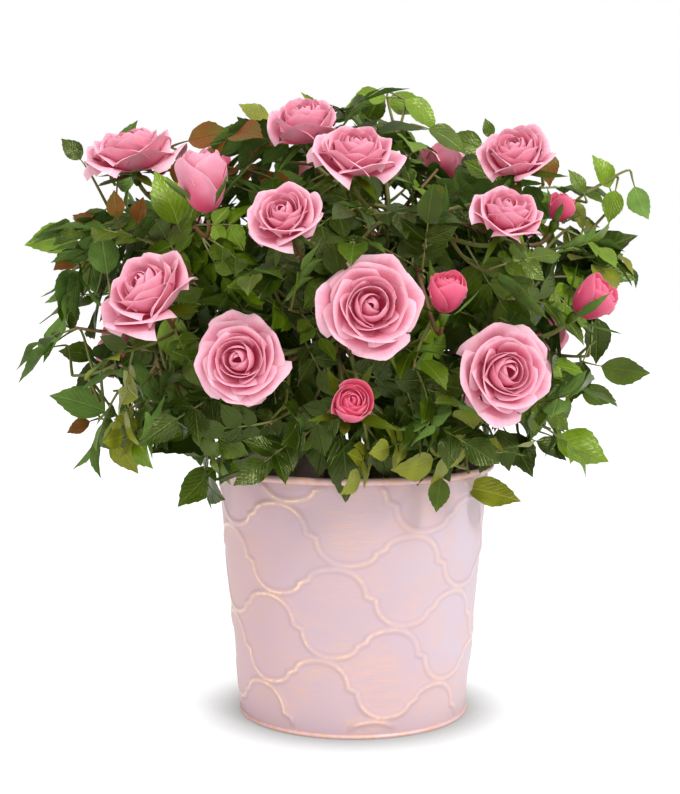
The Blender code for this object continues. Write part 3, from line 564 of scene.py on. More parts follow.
def placeKeySprays():
    # each hangs by a side twig from the nearest place on a stem that lies behind its root
    leaves, twigs = [], []
    for x, height, depth, pointing, size, parts, tint, turn in keySprays:
        sight = np.array([x, 0, height]) / 1000
        tip = eyePoint + (sight - eyePoint) * (1 - depth / 1000 / eyePoint[1])
        angle = math.radians(pointing)
        direction = unitRows(np.array([math.cos(angle), -0.12, math.sin(angle)]))
        face = squareTo(direction, np.array([0.25 * math.cos(angle), -0.75, 0.55]))
        face = turnedSpoke(math.radians(turn), face, np.cross(direction, face))
        direction = unitRows(direction + 0.42 * face)  # the rib and the blade arch over by about as much
        face = squareTo(direction, face)
        starts, ways, _, lengths = leafletFrames(tip, direction, face, size, parts)
        root = 2 * tip - (starts[0] + ways[0] * lengths[0])
        costs = []
        for shoot in shoots:
            away = root - shoot["path"][3:]
            costs.append(np.linalg.norm(away, axis=1) + np.maximum(0, -away @ direction))
        nearest, place = np.unravel_index(np.argmin(costs), np.shape(costs))
        shoot, place = shoots[nearest], place + 3
        foot = shoot["path"][place]
        twig = dict(path=bezier(foot, unitRows(root - foot), root, direction, 9, (0.40, 0.15)), leafed=1.0)
        twigs.append((shoot, twig))
        shoot["leafed"] = max(shoot["leafed"], pathLength(shoot["path"][:place + 1]))
        leaves.append((shoot, root, direction, face, size, parts, tint))
    return leaves, twigs


def cutBack(carrier):
    # the path as far as its last leaf, with the same number of points
    path = carrier["path"]
    share = min(1.0, (carrier["leafed"] + 0.002) / pathLength(path))
    spots = np.linspace(0, share * (len(path) - 1), len(path))
    return np.stack([np.interp(spots, np.arange(len(path)), path[:, axis]) for axis in range(3)], -1)


def clearWay(choices, size, taken, atTip):
    # the first of the ways whose leaflets keep clear of all others and of what else is there, and its leaflets' middles
    room = leafRule["room"] * size * (leafRule["tipRoom"] if atTip else 1.0)
    for root, direction, face in choices:
        starts, blades, fronts, lengths = leafletFrames(root, direction, face, size)
        span = blades * lengths[:, None]
        middles = starts + 0.5 * span
        if np.min(np.linalg.norm(middles[:, None] - taken, axis=-1)) < room:
            continue
        beside = np.cross(fronts, blades) * (0.5 * leafRule["width"] * lengths[:, None])
        rim = np.vstack([middles, middles + beside, middles - beside, starts + span])
        if staysClear(rim, 1.0, crown["limit"] + (leafRule["tipLimit"] if atTip else 0.0)):
            return (root, direction, face), middles
    return None, None


def growLeaves():
    # outermost first, the tips of shoots before all others; a place where no way is clear takes a smaller leaf or none
    draw = np.random.default_rng(crown["seed"])
    places = []
    for shoot in shoots:
        seed = crown["seed"] + shoot["number"]
        ends = leafWays(shoot, seed)
        shoot["leafed"] = pathLength(shoot["path"]) if "width" in shoot else 0.0
        if "width" not in shoot:
            places.append((shoot, -1, *ends.pop()))
        for index, place in enumerate(ends + leafWays(shoot, seed + leafRule["betweenSeed"], leafRule["spacing"] / 2)):
            places.append((shoot, index, *place))
    places.sort(key=lambda place: (place[1] >= 0, -crownShare(place[3][0][0])[0]))
    leaves, twigs = placeKeySprays()
    taken = [leafletFrames(*leaf[1:6]) for leaf in leaves]
    taken = np.vstack([starts + 0.5 * (blades * lengths[:, None]) for starts, blades, _, lengths in taken])
    for shoot, index, distance, ways in places:
        own, carrier = [(distance, ways)], shoot
        if index % leafRule["twigEvery"] == 1:  # a finer side twig with a few leaves of its own
            root, direction, _ = ways[0]
            reach = draw.uniform(*leafRule["twigLength"])
            end = root + reach * unitRows(direction + 0.6 * outwardAt(root))
            if staysClear(np.array([end]), leafRule["twigBloomRoom"]):
                path = bezier(root, unitRows(direction), end, outwardAt(end), 9)
                carrier = dict(path=path, endDirection=outwardAt(end), leafed=0.0)
                twigs.append((shoot, carrier))
                own = leafWays(carrier, crown["seed"] + leafRule["twigSeed"] + len(twigs))
        for spot, choices in own:
            fullSize = draw.uniform(*leafRule["sizes"])
            for share in leafRule["smaller"]:
                size = share * fullSize
                found, middles = clearWay(choices, size, taken, index < 0)
                if found:
                    leaves.append((shoot, *found, size, 5, None))
                    carrier["leafed"] = max(carrier["leafed"], spot)
                    shoot["leafed"] = max(shoot["leafed"], distance)
                    taken = np.vstack([taken, middles])
                    break
    return leaves, [(shoot, cutBack(twig)) for shoot, twig in twigs if twig["leafed"] > 0]


leaves, twigs = growLeaves()
print("leaves", len(leaves), "leaflets", sum(leaf[5] for leaf in leaves), "side twigs", len(twigs))


def leafletTemplate():
    # outline half-width is a sine of the length to a power, with teeth between the stations;
    # the middle line is carried twice, on the upper face and on the lower one
    teeth = leafBuild["teeth"]
    stations = np.arange(teeth + 1) / teeth

    def halfWidth(t):
        return 0.5 * np.sin(math.pi * t ** 0.80) ** (0.80 + 0.45 * t)
    inner = stations[1:-1]
    toothAt = (np.arange(teeth) + leafBuild["toothAt"]) / teeth
    notch = halfWidth(inner)
    tooth = halfWidth((np.arange(teeth) + leafBuild["toothWidthAt"]) / teeth) + leafBuild["toothOut"]
    tooth[-1] = leafBuild["lastTooth"]
    points = [(0, 0, 0), (1, 0, 0)] + [(t, 0, 0) for t in inner] + [(t, 0, 1) for t in inner]
    for side in (-1, 1):
        points += [(t, side * w, 0) for t, w in zip(inner, notch)] + [(t, side * w, 0) for t, w in zip(toothAt, tooth)]
    count = teeth - 1

    def middle(station, low):
        return 0 if station == 0 else 1 if station == teeth else 2 + low * count + station - 1
    faces, under = [], []
    for side, base in enumerate((2 + 2 * count, 2 + 3 * count + teeth)):
        for low in (0, 1):
            for i in range(teeth):
                k = base + count + i
                edge = [0] + [base + j for j in range(count)] + [1]
                trio = [(middle(i, low), k, middle(i + 1, low))]
                if i:
                    trio.append((middle(i, low), edge[i], k))
                if i < teeth - 1:
                    trio.append((middle(i + 1, low), k, edge[i + 1]))
                faces += [face[::-1] if side != low else face for face in trio]
                under += [low] * len(trio)
    return np.array(points, float), np.array(faces), np.array(under)


leafletPoints, leafletFaces, leafletUnder = leafletTemplate()


def leafletMesh(starts, directions, faces, lengths, widths, fold, arch, phase):
    # along, across and up: up is the fold times across, less the arch times along squared, plus a wave at the edge
    beside = np.cross(faces, directions)
    t, c, low = leafletPoints.T
    c = c * widths[:, None]
    up = fold[:, None] * np.abs(c) - arch[:, None] * t ** 2 - leafBuild["thickness"] * low
    up = up + leafBuild["wave"] * np.abs(c) * np.sin(9 * t + phase[:, None])
    local = np.stack([t + np.zeros_like(c), c, up], -1) * lengths[:, None, None]
    axes = np.stack([directions, beside, faces], 1)
    points = starts[:, None] + np.einsum("npk,nkd->npd", local, axes)
    count, each = points.shape[:2]
    triangles = leafletFaces[None] + (np.arange(count) * each)[:, None, None]
    uv = np.tile(np.stack([leafletPoints[:, 0], leafletPoints[:, 1] + 0.5], -1), (count, 1))
    return points.reshape(-1, 3), triangles.reshape(-1, 3), uv


# finishes

def leafFinish(name, colour, vein, roughness=0.33, gloss=0.55, shaded=None):
    # side veins run forward from the middle rib at a slant; the blade between them is patchy and puffs up a little
    finish = Finish(name, Base_Color=colour, Roughness=roughness, Specular_IOR_Level=gloss,
                    Specular_Tint=(0.9, 1.0, 0.45, 1.0))
    u, v, _ = finish.axes(finish.place(source="UV"))
    side = abs(v - 0.5)
    stripe = ((u - side * 0.9) * 50.0).wave() ** 5
    rib = 1 - side.ramp(0.0, 0.04)
    patch = finish.noise(finish.place(), 75.0, 2.0)
    shaded = shaded or tuple(0.45 * c for c in colour[:3]) + (1,)
    blade = finish.mix(patch.ramp(0.38, 0.68) * 0.6, colour, shaded)
    finish.feed("Base Color", finish.mix(stripe * 0.10 + rib * 0.45, blade, vein))
    puff = finish.noise(finish.place((5, 8, 1), "UV"), 1.0, 1.0)
    finish.bump(patch * 0.4 + puff * 0.9 - stripe * 0.18 - rib * 0.8, 0.48, 0.0009)
    return finish.material


# the dark, mid and bright greens are one finish in three tones: besides tone that differs at random, they serve as
# painted shade and painted light, dealt out by where a leaf sits on the crown
leafTints = [
    leafFinish("leafDark", rgb(40, 58, 2), rgb(78, 100, 22)),
    leafFinish("leafMid", rgb(65, 87, 2), rgb(106, 132, 30)),
    leafFinish("leafBright", rgb(98, 128, 10), rgb(146, 168, 58)),
    leafFinish("leafYoung", rgb(124, 128, 26), rgb(164, 164, 70), 0.40),
    leafFinish("leafBronze", rgb(118, 60, 20), rgb(140, 84, 40), 0.40, 0.4, rgb(78, 80, 14)),
    leafFinish("leafUnder", rgb(104, 136, 62), rgb(142, 168, 98), 0.65, 0.12)]


def petalFinish(name, deep, mid, pale):
    # deep at the foot of the petal, partly the rose's own colour and partly painted shade in the cup, pale at its lip,
    # with fine lines along it; the faint pink emission is a painted glow that stands for light through the petals
    finish = Finish(name, Base_Color=mid, Roughness=0.55, Sheen_Weight=0.15, Sheen_Roughness=0.4, Specular_IOR_Level=0.25,
                    Subsurface_Weight=0.15, Subsurface_Scale=0.003, Subsurface_Radius=(1.0, 0.30, 0.36),
                    Emission_Color=rgb(206, 60, 98), Emission_Strength=0.10)
    depth = finish.attribute("shade")
    lines = finish.noise(finish.place((30, 2, 1), "UV"), 1.0, 3.0)
    patch = finish.noise(finish.place(), 110.0, 2.0)
    blushAndCupShade = finish.mix((depth + patch * 0.3 - 0.15).ramp(0.02, 0.72), deep, mid)
    tone = finish.mix((depth + lines * 0.30 - 0.15).ramp(0.62, 1.12), blushAndCupShade, pale)
    finish.feed("Base Color", tone)
    finish.bump(lines, 0.22, 0.0004)
    return finish.material


petal = petalFinish("petalPink", rgb(196, 68, 100), rgb(222, 150, 170), rgb(234, 190, 202))
budPetal = petalFinish("budPink", rgb(188, 44, 84), rgb(222, 98, 130), rgb(240, 158, 178))


def stemFinish(name, colour, streak, roughness):
    finish = Finish(name, Base_Color=colour, Roughness=roughness)
    grain = finish.noise(finish.place((1, 1, 0.25)), 700.0, 3.0)
    finish.feed("Base Color", finish.mix(grain.ramp(0.35, 0.7), colour, streak))
    finish.bump(grain, 0.4, 0.0004)
    return finish.material


youngStem = stemFinish("youngStem", rgb(96, 118, 44), rgb(124, 96, 52), 0.5)
redStem = stemFinish("redStem", rgb(108, 62, 34), rgb(92, 88, 36), 0.5)
oldStem = stemFinish("oldStem", rgb(92, 84, 46), rgb(70, 54, 34), 0.75)

# leaves of each mass, with tints dealt out by spray, and its stems

tinting = dict(young=3, bronze=4, under=5, youngShare=0.16, bronzeShare=0.62, bronzeAt=bearingDirection(-84, 38),
               bronzeSpread=34, tipsFrom=0.72, paintedShadeWithin=0.55)
stemBuild = dict(leader=0.0017, shoot=0.0014, neck=0.0011, tip=0.0008, twig=(0.0010, 0.0006), rib=(0.0007, 0.00035),
                 thorn=(0.0012, 0.0007, 0.00008), thornReach=(0.0022, 0.0042), hook=0.0012, thorns=4, redShare=0.3)


def sprayTint(shoot, draw):
    # bronze or young by chance, the others brighter at the top and the sides than low in front: painted light and
    # shade, the green picked for how lit its place on the crown is
    outward = outwardAt(shoot["end"])
    fromBronze = math.degrees(math.acos(np.clip(np.dot(outward, tinting["bronzeAt"]), -1, 1)))
    chance = draw.uniform()
    if fromBronze < tinting["bronzeSpread"] and chance < tinting["bronzeShare"]:
        return tinting["bronze"]
    if chance < tinting["youngShare"]:
        return tinting["young"]
    paintedSun = np.clip(0.30 + 0.5 * outward[2] + 0.35 * abs(outward[0]), 0, 1)
    bright = 0.32 * paintedSun ** 1.5
    return int(draw.choice([0, 1, 2], p=[0.70 - 0.16 * paintedSun - bright, 0.30 + 0.16 * paintedSun, bright]))


def leafTint(tint, outer, draw):
    # only the tips of a coloured spray are coloured; a green leaf is a step off at times, and a step darker deep inside
    # the crown, a painted shade
    if tint >= tinting["young"]:
        return tint if outer >= tinting["tipsFrom"] else 1
    return int(np.clip(tint + draw.choice([-1, 0, 1], p=[0.2, 0.6, 0.2]) - (outer < tinting["paintedShadeWithin"]), 0, 2))


def growLeafPiece(mass, draw):
    frames, tints, ribs, ribTints, sprays = [], [], [], [], {}
    for shoot, root, direction, face, size, parts, given in [leaf for leaf in leaves if leaf[0]["mass"] == mass]:
        if shoot["number"] not in sprays:
            sprays[shoot["number"]] = sprayTint(shoot, draw)
        tint = leafTint(sprays[shoot["number"]], crownShare(root)[0], draw)
        tint = tint if given is None else given
        frames.append(leafletFrames(root, direction, face, size, parts))
        tints += [tint] * parts
        ribTints.append(int(tint == tinting["bronze"]))
        ribs.append(ribPoints(root, direction, face, ribLength(size, parts), np.linspace(0, 1.02, 5)[:, None]))
    starts, ways, faces, lengths = (np.concatenate(part) for part in zip(*frames))
    count = len(starts)
    faces = squareTo(ways, faces + draw.normal(0, 0.16, (count, 3)))
    widths = leafRule["width"] * draw.uniform(0.88, 1.08, count)
    fold = leafBuild["fold"] * draw.uniform(0.4, 1.5, count)
    arch = leafBuild["arch"] * draw.uniform(0.0, 1.5, count)
    points, triangles, uv = leafletMesh(starts, ways, faces, lengths, widths, fold, arch, draw.uniform(0, 6.28, count))
    finishOf = np.where(leafletUnder[None] == 1, tinting["under"], np.array(tints)[:, None])
    addPiece("leaves_" + mass, points, triangles, leafTints, "foliage", finishOf.ravel(), uv)
    print("mass", mass, "leaflets", count, "triangles", len(triangles))
    return np.array(ribs), ribTints


def growStemPiece(mass, own, ribs, ribTints, draw):
    parts = []

    def add(paths, radii, sides, finishOf):
        points, faces = tubes(paths, radii, sides)
        finishOf = np.broadcast_to(finishOf, len(paths))
        parts.append((points, faces, np.repeat(finishOf, len(faces) // len(paths))))
    for shoot in own:
        path = cutBack(shoot)
        ends = stemBuild["leader" if shoot["leader"] else "shoot"], stemBuild["neck" if "width" in shoot else "tip"]
        red = draw.choice([0, 1], p=[1 - stemBuild["redShare"], stemBuild["redShare"]])
        add(path[None], np.linspace(*ends, len(path)), 7, red)
        thorns = []
        for spot in draw.uniform(0.1, 0.85, stemBuild["thorns"]) * pathLength(path):
            point, tangent = along(path, spot)
            spoke = squareTo(tangent, draw.normal(0, 1, 3))
            middle, tip = (point + spoke * reach for reach in stemBuild["thornReach"])
            thorns.append([point, middle, tip - tangent * stemBuild["hook"]])
        add(np.array(thorns), stemBuild["thorn"], 4, 1)
    sideTwigs = np.array([path for shoot, path in twigs if shoot["mass"] == mass])
    if len(sideTwigs):
        add(sideTwigs, np.linspace(*stemBuild["twig"], sideTwigs.shape[1]), 5, 0)
    add(ribs, np.linspace(*stemBuild["rib"], 5), 4, ribTints)
    points, faces, finishOf = joined(parts)
    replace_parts(addPiece("twigs_" + mass, points, faces, [youngStem, redStem], "foliage", finishOf), "foliage_" + mass)


def growFoliage():
    draw = np.random.default_rng(crown["seed"] + 7)
    for site in sites:
        growStemPiece(site["name"], site["shoots"], *growLeafPiece(site["name"], draw), draw)


growFoliage()

# roses: petals are sheets set round the bloom's axis by the golden angle, each further out and more open than the last

roseBuild = dict(petals=27, fewer=5, rows=11, columns=13, thickness=0.010, halfAngle=(125, 50), spiral=0.10, flat=0.66,
                 dip=0.17, corner=0.16, point=0.20, rollOut=0.055, rollDown=0.105, wave=0.030, tilt=8, seat=0.28,
                 tall=((0.05, 0.15, 0.5, 1.0), (1.0, 1.35, 0.90, 0.80)))
sepalBuild = dict(count=5, below=0.29, scatter=0.25, reach=(0.44, 0.64), shut=dict(lift=(0.5, 1.3), out=0.12, hip=0.8),
                  spread=dict(lift=(-0.45, 0.08), out=0.05, hip=1.0), hipAlong=(-0.0065, 0.001),
                  hipRadii=(0.0012, 0.0024, 0.0032, 0.0033, 0.0022))
# radius and height of a petal's four control points, in bloom widths, from the tightest to the widest
petalProfiles = np.array([
    [(0.010, -0.26), (0.110, -0.16), (0.105, 0.10), (0.004, 0.190)],
    [(0.025, -0.27), (0.215, -0.21), (0.215, 0.05), (0.185, 0.200)],
    [(0.030, -0.28), (0.270, -0.25), (0.305, 0.01), (0.345, 0.135)],
    [(0.035, -0.29), (0.290, -0.29), (0.410, -0.11), (0.495, 0.000)]])


def petalGrid(opening, order, count, draw):
    # a cubic from foot to tip gives radius and height; the sheet is flatter than its ring, so the radius grows as one over
    # the cosine towards its sides; one side tucks in and the other stands out; the lip rolls back, most at the sides;
    # the whole leans out about its seat
    share = order / (count - 1)
    opened = share ** 0.95 * (0.34 + 0.66 * opening) * draw.uniform(0.96, 1.03)
    v = np.linspace(0, 1, roseBuild["rows"])[:, None] ** 0.8
    u = np.linspace(-1, 1, roseBuild["columns"])[None]
    w = v * (1 - roseBuild["dip"] * np.abs(u) ** 2 - roseBuild["corner"] * np.abs(u) ** 7
             + roseBuild["point"] * opened * np.exp(-(u / 0.24) ** 2))
    place = min(opened, 0.999) * 3
    step = int(place)
    control = petalProfiles[step] + (petalProfiles[step + 1] - petalProfiles[step]) * (place - step)
    weights = np.stack([(1 - w) ** 3, 3 * (1 - w) ** 2 * w, 3 * (1 - w) * w ** 2, w ** 3], -1)
    radius, height = (weights @ control).transpose(2, 0, 1)
    narrow, broad = roseBuild["halfAngle"]
    half = math.radians(narrow + (broad - narrow) * opened ** 0.6) * draw.uniform(0.92, 1.10)
    turn = u * half * (1 - 0.12 * v)
    stand = 1 / np.cos(np.minimum(np.abs(turn) * roseBuild["flat"] * opened, 1.0)) - 1
    radius = radius * (1 + stand * v ** 2) * (1 + roseBuild["spiral"] * (1 - 0.4 * opened) * u)
    roll = np.clip((v - 0.66) / 0.34, 0, 1) ** 2 * (0.10 + 0.90 * opened) * (0.30 + np.abs(u) ** 1.4)
    radius = radius + roseBuild["rollOut"] * roll
    height = height - roseBuild["rollDown"] * roll
    phase = draw.uniform(-3, 3, 2)
    height = height + roseBuild["wave"] * v ** 2 * np.sin(2.6 * u + phase[0]) * (0.3 + opened)
    radius = radius * (1 + 0.03 * v * np.sin(3.4 * u + phase[1]))
    tilt = math.radians(roseBuild["tilt"])
    lean = math.radians(draw.normal(0, roseBuild["tilt"] * 0.3)) + tilt * opened * (share > 0.8)
    rise = height + roseBuild["seat"]
    height = rise * math.cos(lean) - radius * math.sin(lean) - roseBuild["seat"]
    radius = radius * math.cos(lean) + rise * math.sin(lean)
    angle = order * goldenAngle + draw.normal(0, 0.12) + turn
    grid = np.stack([radius * np.cos(angle), radius * np.sin(angle), height], -1)
    grid = grid * [1, 1, np.interp(opening, *roseBuild["tall"])]
    # the shade value runs from deep at the petal's foot to pale at its lip; the inner, less opened petals are set
    # deeper, partly the rose's own colour and partly painted shade deep in the cup
    shade = np.clip(v ** 1.1 + 0 * u - 0.30 * (1 - opened) + 0.12 * np.abs(u) ** 2, 0, 1.2)
    return grid, shade, np.stack([(u + 1) / 2 + 0 * v, v + 0 * u], -1)


def petalSheet(grid, shade, uv, thickness):
    # the outer face stands off the inner one along the surface's own direction, less towards the rim
    down, over = np.gradient(grid, axis=0), np.gradient(grid, axis=1)
    normal = unitRows(np.cross(over, down))
    outer = grid + normal * thickness * 0.5
    inner = grid - normal * thickness * 0.5
    outer[0], outer[-1], outer[:, 0], outer[:, -1] = grid[0], grid[-1], grid[:, 0], grid[:, -1]
    points = np.vstack([outer.reshape(-1, 3), inner[1:-1, 1:-1].reshape(-1, 3)])
    shades = np.concatenate([shade.ravel(), shade[1:-1, 1:-1].ravel()])
    maps = np.vstack([uv.reshape(-1, 2), uv[1:-1, 1:-1].reshape(-1, 2)])
    return points, sheetFaces(*grid.shape[:2]), maps, shades


def growBloom(shoot, draw):
    # its petals, its five narrow sepals as rows for leafletMesh, and the course and radii of the round hip below
    width, opening, axis = shoot["width"], shoot["opening"], shoot["endDirection"]
    across = squareTo(axis, np.array([1.0, 0.2, 0.0] if abs(axis[2]) > 0.9 else [0.35, 0.25, 0.90]))
    beside = np.cross(axis, across)
    turn = draw.uniform(0, math.tau)
    across, beside = turnedSpoke(turn, across, beside), turnedSpoke(turn, beside, -across)
    axes = np.array([across, beside, axis])
    petals, sepals = [], []
    count = roseBuild["petals"] - int(roseBuild["fewer"] * (1 - opening))
    for order in range(count):
        points, faces, uv, shades = petalSheet(*petalGrid(opening, order, count, draw), roseBuild["thickness"])
        points = shoot["end"] + width * points @ axes
        petals.append((points, faces, uv, shades, np.full(len(faces), int(opening < 0.1))))
    held = sepalBuild["shut" if opening < 0.3 else "spread"]
    foot = shoot["end"] - axis * width * sepalBuild["below"]
    for number in range(sepalBuild["count"]):
        angle = math.tau * number / sepalBuild["count"] + draw.uniform(-sepalBuild["scatter"], sepalBuild["scatter"])
        spoke = turnedSpoke(angle, across, beside)
        direction = unitRows(spoke + draw.uniform(*held["lift"]) * axis)
        face = squareTo(direction, axis if opening else -spoke)
        sepals.append((foot + spoke * width * held["out"], direction, face, draw.uniform(*sepalBuild["reach"]) * width))
    radii = np.array(sepalBuild["hipRadii"]) * held["hip"]
    return petals, sepals, (np.linspace(*sepalBuild["hipAlong"], len(radii))[:, None] * axis + foot, radii)


def growBlooms():
    draw = np.random.default_rng(crown["seed"] + 21)
    for site in sites:
        grown = [growBloom(shoot, draw) for shoot in site["shoots"] if "width" in shoot]
        if not grown:
            continue
        points, faces, uv, shades, finishOf = joined([petal for bloom in grown for petal in bloom[0]])
        addPiece("roses_" + site["name"], points, faces, [petal, budPetal], "foliage", finishOf, uv, shades)
        print("roses", site["name"], "triangles", len(faces))
        sepals = [np.array(part) for part in zip(*[sepal for bloom in grown for sepal in bloom[1]])]
        count = len(sepals[0])
        points, faces, uv = leafletMesh(*sepals, draw.uniform(0.15, 0.24, count), np.full(count, 0.4),
                                        draw.uniform(-0.25, 0.35, count), draw.uniform(0, 6, count))
        hips = tubes(*(np.array(part) for part in zip(*[bloom[2] for bloom in grown])), 9)
        under = np.concatenate([np.tile(leafletUnder, count), np.zeros(len(hips[1]), int)])
        points, faces, uv = joined([(points, faces, uv), (*hips, np.zeros((len(hips[0]), 2)))])
        addPiece("sepals_" + site["name"], points, faces, [leafTints[1], leafTints[5]], "foliage", under, uv)


growBlooms()

# pot: a wall with a raised ogee lattice, a rolled rim and a rolled foot

lattice = dict(right=np.array([29.5, -32.5]), back=np.array([38.6, 16.3]), start=np.array([-6.2, 91.7]), radius=67.9,
               jog=5.0, lift=1.2, apart=np.array([3.2, 0.9]), ridge=1.90, height=0.00070, swell=(7.0, 0.0002),
               fade=((3, 5), (134.5, 3)))
potBuild = dict(sides=600, rows=150, up=(0.0012, 0.1360), beadSides=240, beadSteps=20, beadOut=0.00095, floorSides=120,
                floor=((0.0002, 0.0012), (0.0002, 0.0003), (0.0605, 0.0003), (0.0615, 0.0012)))


def latticePath():
    # one cell's two curves, in mm round and up: quarter arcs from a crest and to a trough, with a small step between;
    # crest and trough lie a little apart, so that neighbouring curves pass side by side
    crest, trough = -lattice["apart"], lattice["apart"]
    corners = crest, lattice["right"] + trough, lattice["right"] + lattice["back"] + crest
    pieces = []
    for start, end in zip(corners, corners[1:]):
        way = end - start
        step = np.array([lattice["jog"] / 2, math.copysign(lattice["lift"], way[1])])
        t = np.linspace(0, math.pi / 2, 26)[:, None]
        corner = way / 2 - step
        arc = np.hstack([corner[0] * np.sin(t), corner[1] * (1 - np.cos(t))])
        link = corner + (2 * step) * np.linspace(0, 1, 8)[:, None]
        pieces.append(start + np.vstack([arc, link[1:-1], way - arc[::-1]]))
    return np.vstack(pieces)


def latticeDistance(roundMm, upMm):
    # fold each place into one cell of the lattice and measure to the nearest point of the curves there
    basis = np.array([lattice["right"], lattice["back"]])
    place = np.stack([roundMm, upMm], -1) - lattice["start"]
    cell = place @ np.linalg.inv(basis)
    place = (cell - np.floor(cell)) @ basis
    shifts = np.array([(i, j) for i in (-1, 0, 1) for j in (-1, 0, 1)]) @ basis
    curve = (latticePath()[None] + shifts[:, None]).reshape(-1, 2)
    best = np.full(len(place), 1e9)
    for begin in range(0, len(place), 8000):
        part = place[begin:begin + 8000]
        square = ((part[:, None] - curve[None]) ** 2).sum(-1)
        best[begin:begin + 8000] = np.sqrt(square.min(axis=1))
    return best


def bead(radius, height, thick):
    # a closed round section at a radius and height
    turn = ringAngles(potBuild["beadSteps"])
    points, quads = turnedMesh(np.stack([radius + thick * np.cos(turn), height + thick * np.sin(turn)], -1),
                               potBuild["beadSides"])
    return points.reshape(-1, 3), quads


def makePot():
    around, up = potBuild["sides"], potBuild["rows"]
    heights = np.linspace(*potBuild["up"], up)
    outer = np.stack([wallRadius(heights), heights], -1)
    inside = np.stack([wallRadius(heights[::-49]) - potSize["wall"], heights[::-49]], -1)
    points, quads = turnedMesh(np.vstack([outer, inside]), around)
    angle = (ringAngles(around) + math.pi) % math.tau - math.pi
    upMm = np.repeat(heights * 1000, around)
    distance = latticeDistance(np.tile(angle * lattice["radius"], up), upMm)
    # the ridge and a low swell round it are bells of the distance, and both fade out under the rim and over the foot
    (low, lowBand), (high, highBand) = lattice["fade"]
    fade = np.clip((upMm - low) / lowBand, 0, 1) * np.clip((high - upMm) / highBand, 0, 1)
    ridge = np.exp(-(distance / lattice["ridge"]) ** 2)
    breadth, swell = lattice["swell"]
    proud = (lattice["height"] * ridge + swell * np.exp(-(distance / breadth) ** 2)) * fade
    points[:up] += proud.reshape(up, around)[..., None] * spokesFront(angle)
    values = np.zeros(points.shape[:2])
    values[:up] = (ridge * fade).reshape(up, around)
    wall = addPiece("potWall", points, quads, [paint], "pot", values=values.ravel(), sharp=75)
    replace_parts(wall, "pot")
    rim = bead(potSize["top"] + potBuild["beadOut"], potSize["height"] - potSize["rim"], potSize["rim"])
    beads = joined([rim, bead(potSize["base"], potSize["foot"], potSize["foot"])])
    addPiece("potBeads", *beads, [beadPaint], "pot")
    points, quads = turnedMesh(potBuild["floor"], potBuild["floorSides"])
    addPiece("potFloor", points, quads, [beadPaint], "pot", sharp=40)


def wallPaint():
    # pale pink enamel: brushed peach streaks that run round the wall, and worn gold and cream on whatever stands proud;
    # the wall's tone also changes from left to right as painted light, a painted shadow runs along the flanks of each
    # ridge, and the gold and cream are partly a painted highlight, strongest on the left
    pink, paintedLitRight = rgb(191, 166, 174), rgb(198, 182, 194)
    finish = Finish("pinkEnamel", Base_Color=pink, Roughness=0.46, Metallic=0.10, Specular_IOR_Level=0.75)
    proud = finish.attribute("shade")
    wear = finish.noise(finish.place(), 260.0, 4.0, 0.6)
    streak = finish.noise(finish.place((90, 90, 1700)), 1.0, 3.0, 0.7)
    patch = finish.noise(finish.place((26, 26, 40)), 1.0, 3.0, 0.6)
    haze = finish.noise(finish.place((9, 9, 14)), 1.0, 2.0)
    x, _, _ = finish.axes(finish.place())
    # worn patches, and a painted highlight that makes the gold and cream on the ridges strongest on the left side of
    # the wall
    wearAndLeftHighlight = finish.noise(finish.place(), 30.0, 2.0).ramp(0.38, 0.60) * (1 - x.ramp(-0.035, 0.045) * 0.75)
    wearAndLeftHighlight = wearAndLeftHighlight * 0.8 + 0.2
    # the wall is painted in three tones by side for how the light falls on it: this tone on the left, the enamel pink
    # in the middle, darker, and a paler, cooler pink on the right
    tone = rgb(202, 168, 176)
    for share, colour in (
            (x.ramp(-0.060, -0.010), pink), (x.ramp(0.010, 0.065), paintedLitRight),
            (haze.ramp(0.35, 0.7) * 0.35, rgb(194, 162, 170)),
            (patch.ramp(0.36, 0.62) * (streak.ramp(0.46, 0.60) * 0.70 + 0.08), rgb(212, 170, 152)),
            # a painted shadow: a darker pink along both flanks of each ridge
            (proud.ramp(0.05, 0.35) * (1 - proud.ramp(0.35, 0.70)) * 0.25, rgb(174, 134, 142)),
            # gold and cream on the ridges, partly real wear and partly a painted highlight, strongest on the left
            (proud.ramp(0.50, 0.85) * (wear.ramp(0.34, 0.60) * 0.45 + 0.15) * wearAndLeftHighlight, rgb(208, 152, 118)),
            (proud.ramp(0.72, 1.0) * (wear.ramp(0.40, 0.60) * 0.55 + 0.3) * wearAndLeftHighlight, rgb(240, 214, 190))):
        tone = finish.mix(share, tone, colour)
    finish.feed("Base Color", tone)
    finish.feed("Roughness", 0.44 - proud.ramp(0.4, 0.9) * 0.16)
    finish.bump(streak * 0.3 + wear * 0.3, 0.22, 0.0003)
    return finish.material


def edgePaint():
    # the same enamel, rubbed to copper in patches
    finish = Finish("wornGoldEdge", Base_Color=rgb(191, 166, 174), Roughness=0.46, Metallic=0.10, Specular_IOR_Level=0.75)
    wear = finish.noise(finish.place(), 260.0, 4.0, 0.6)
    finish.feed("Base Color", finish.mix(wear.ramp(0.40, 0.64) * 0.75 + 0.05, rgb(214, 180, 182), rgb(218, 166, 132)))
    finish.bump(wear, 0.15, 0.0003)
    return finish.material


paint, beadPaint = wallPaint(), edgePaint()
makePot()
print("pot made")

# soil, old wood and canes

soilBuild = dict(seed=5, hole=0.0003, radius=0.0717, rings=46, sides=150, mound=0.004, depth=0.006,
                 ripples=((90, 0.0012), (240, 0.0007), (620, 0.0005)))  # spread of wave numbers to the metre, height


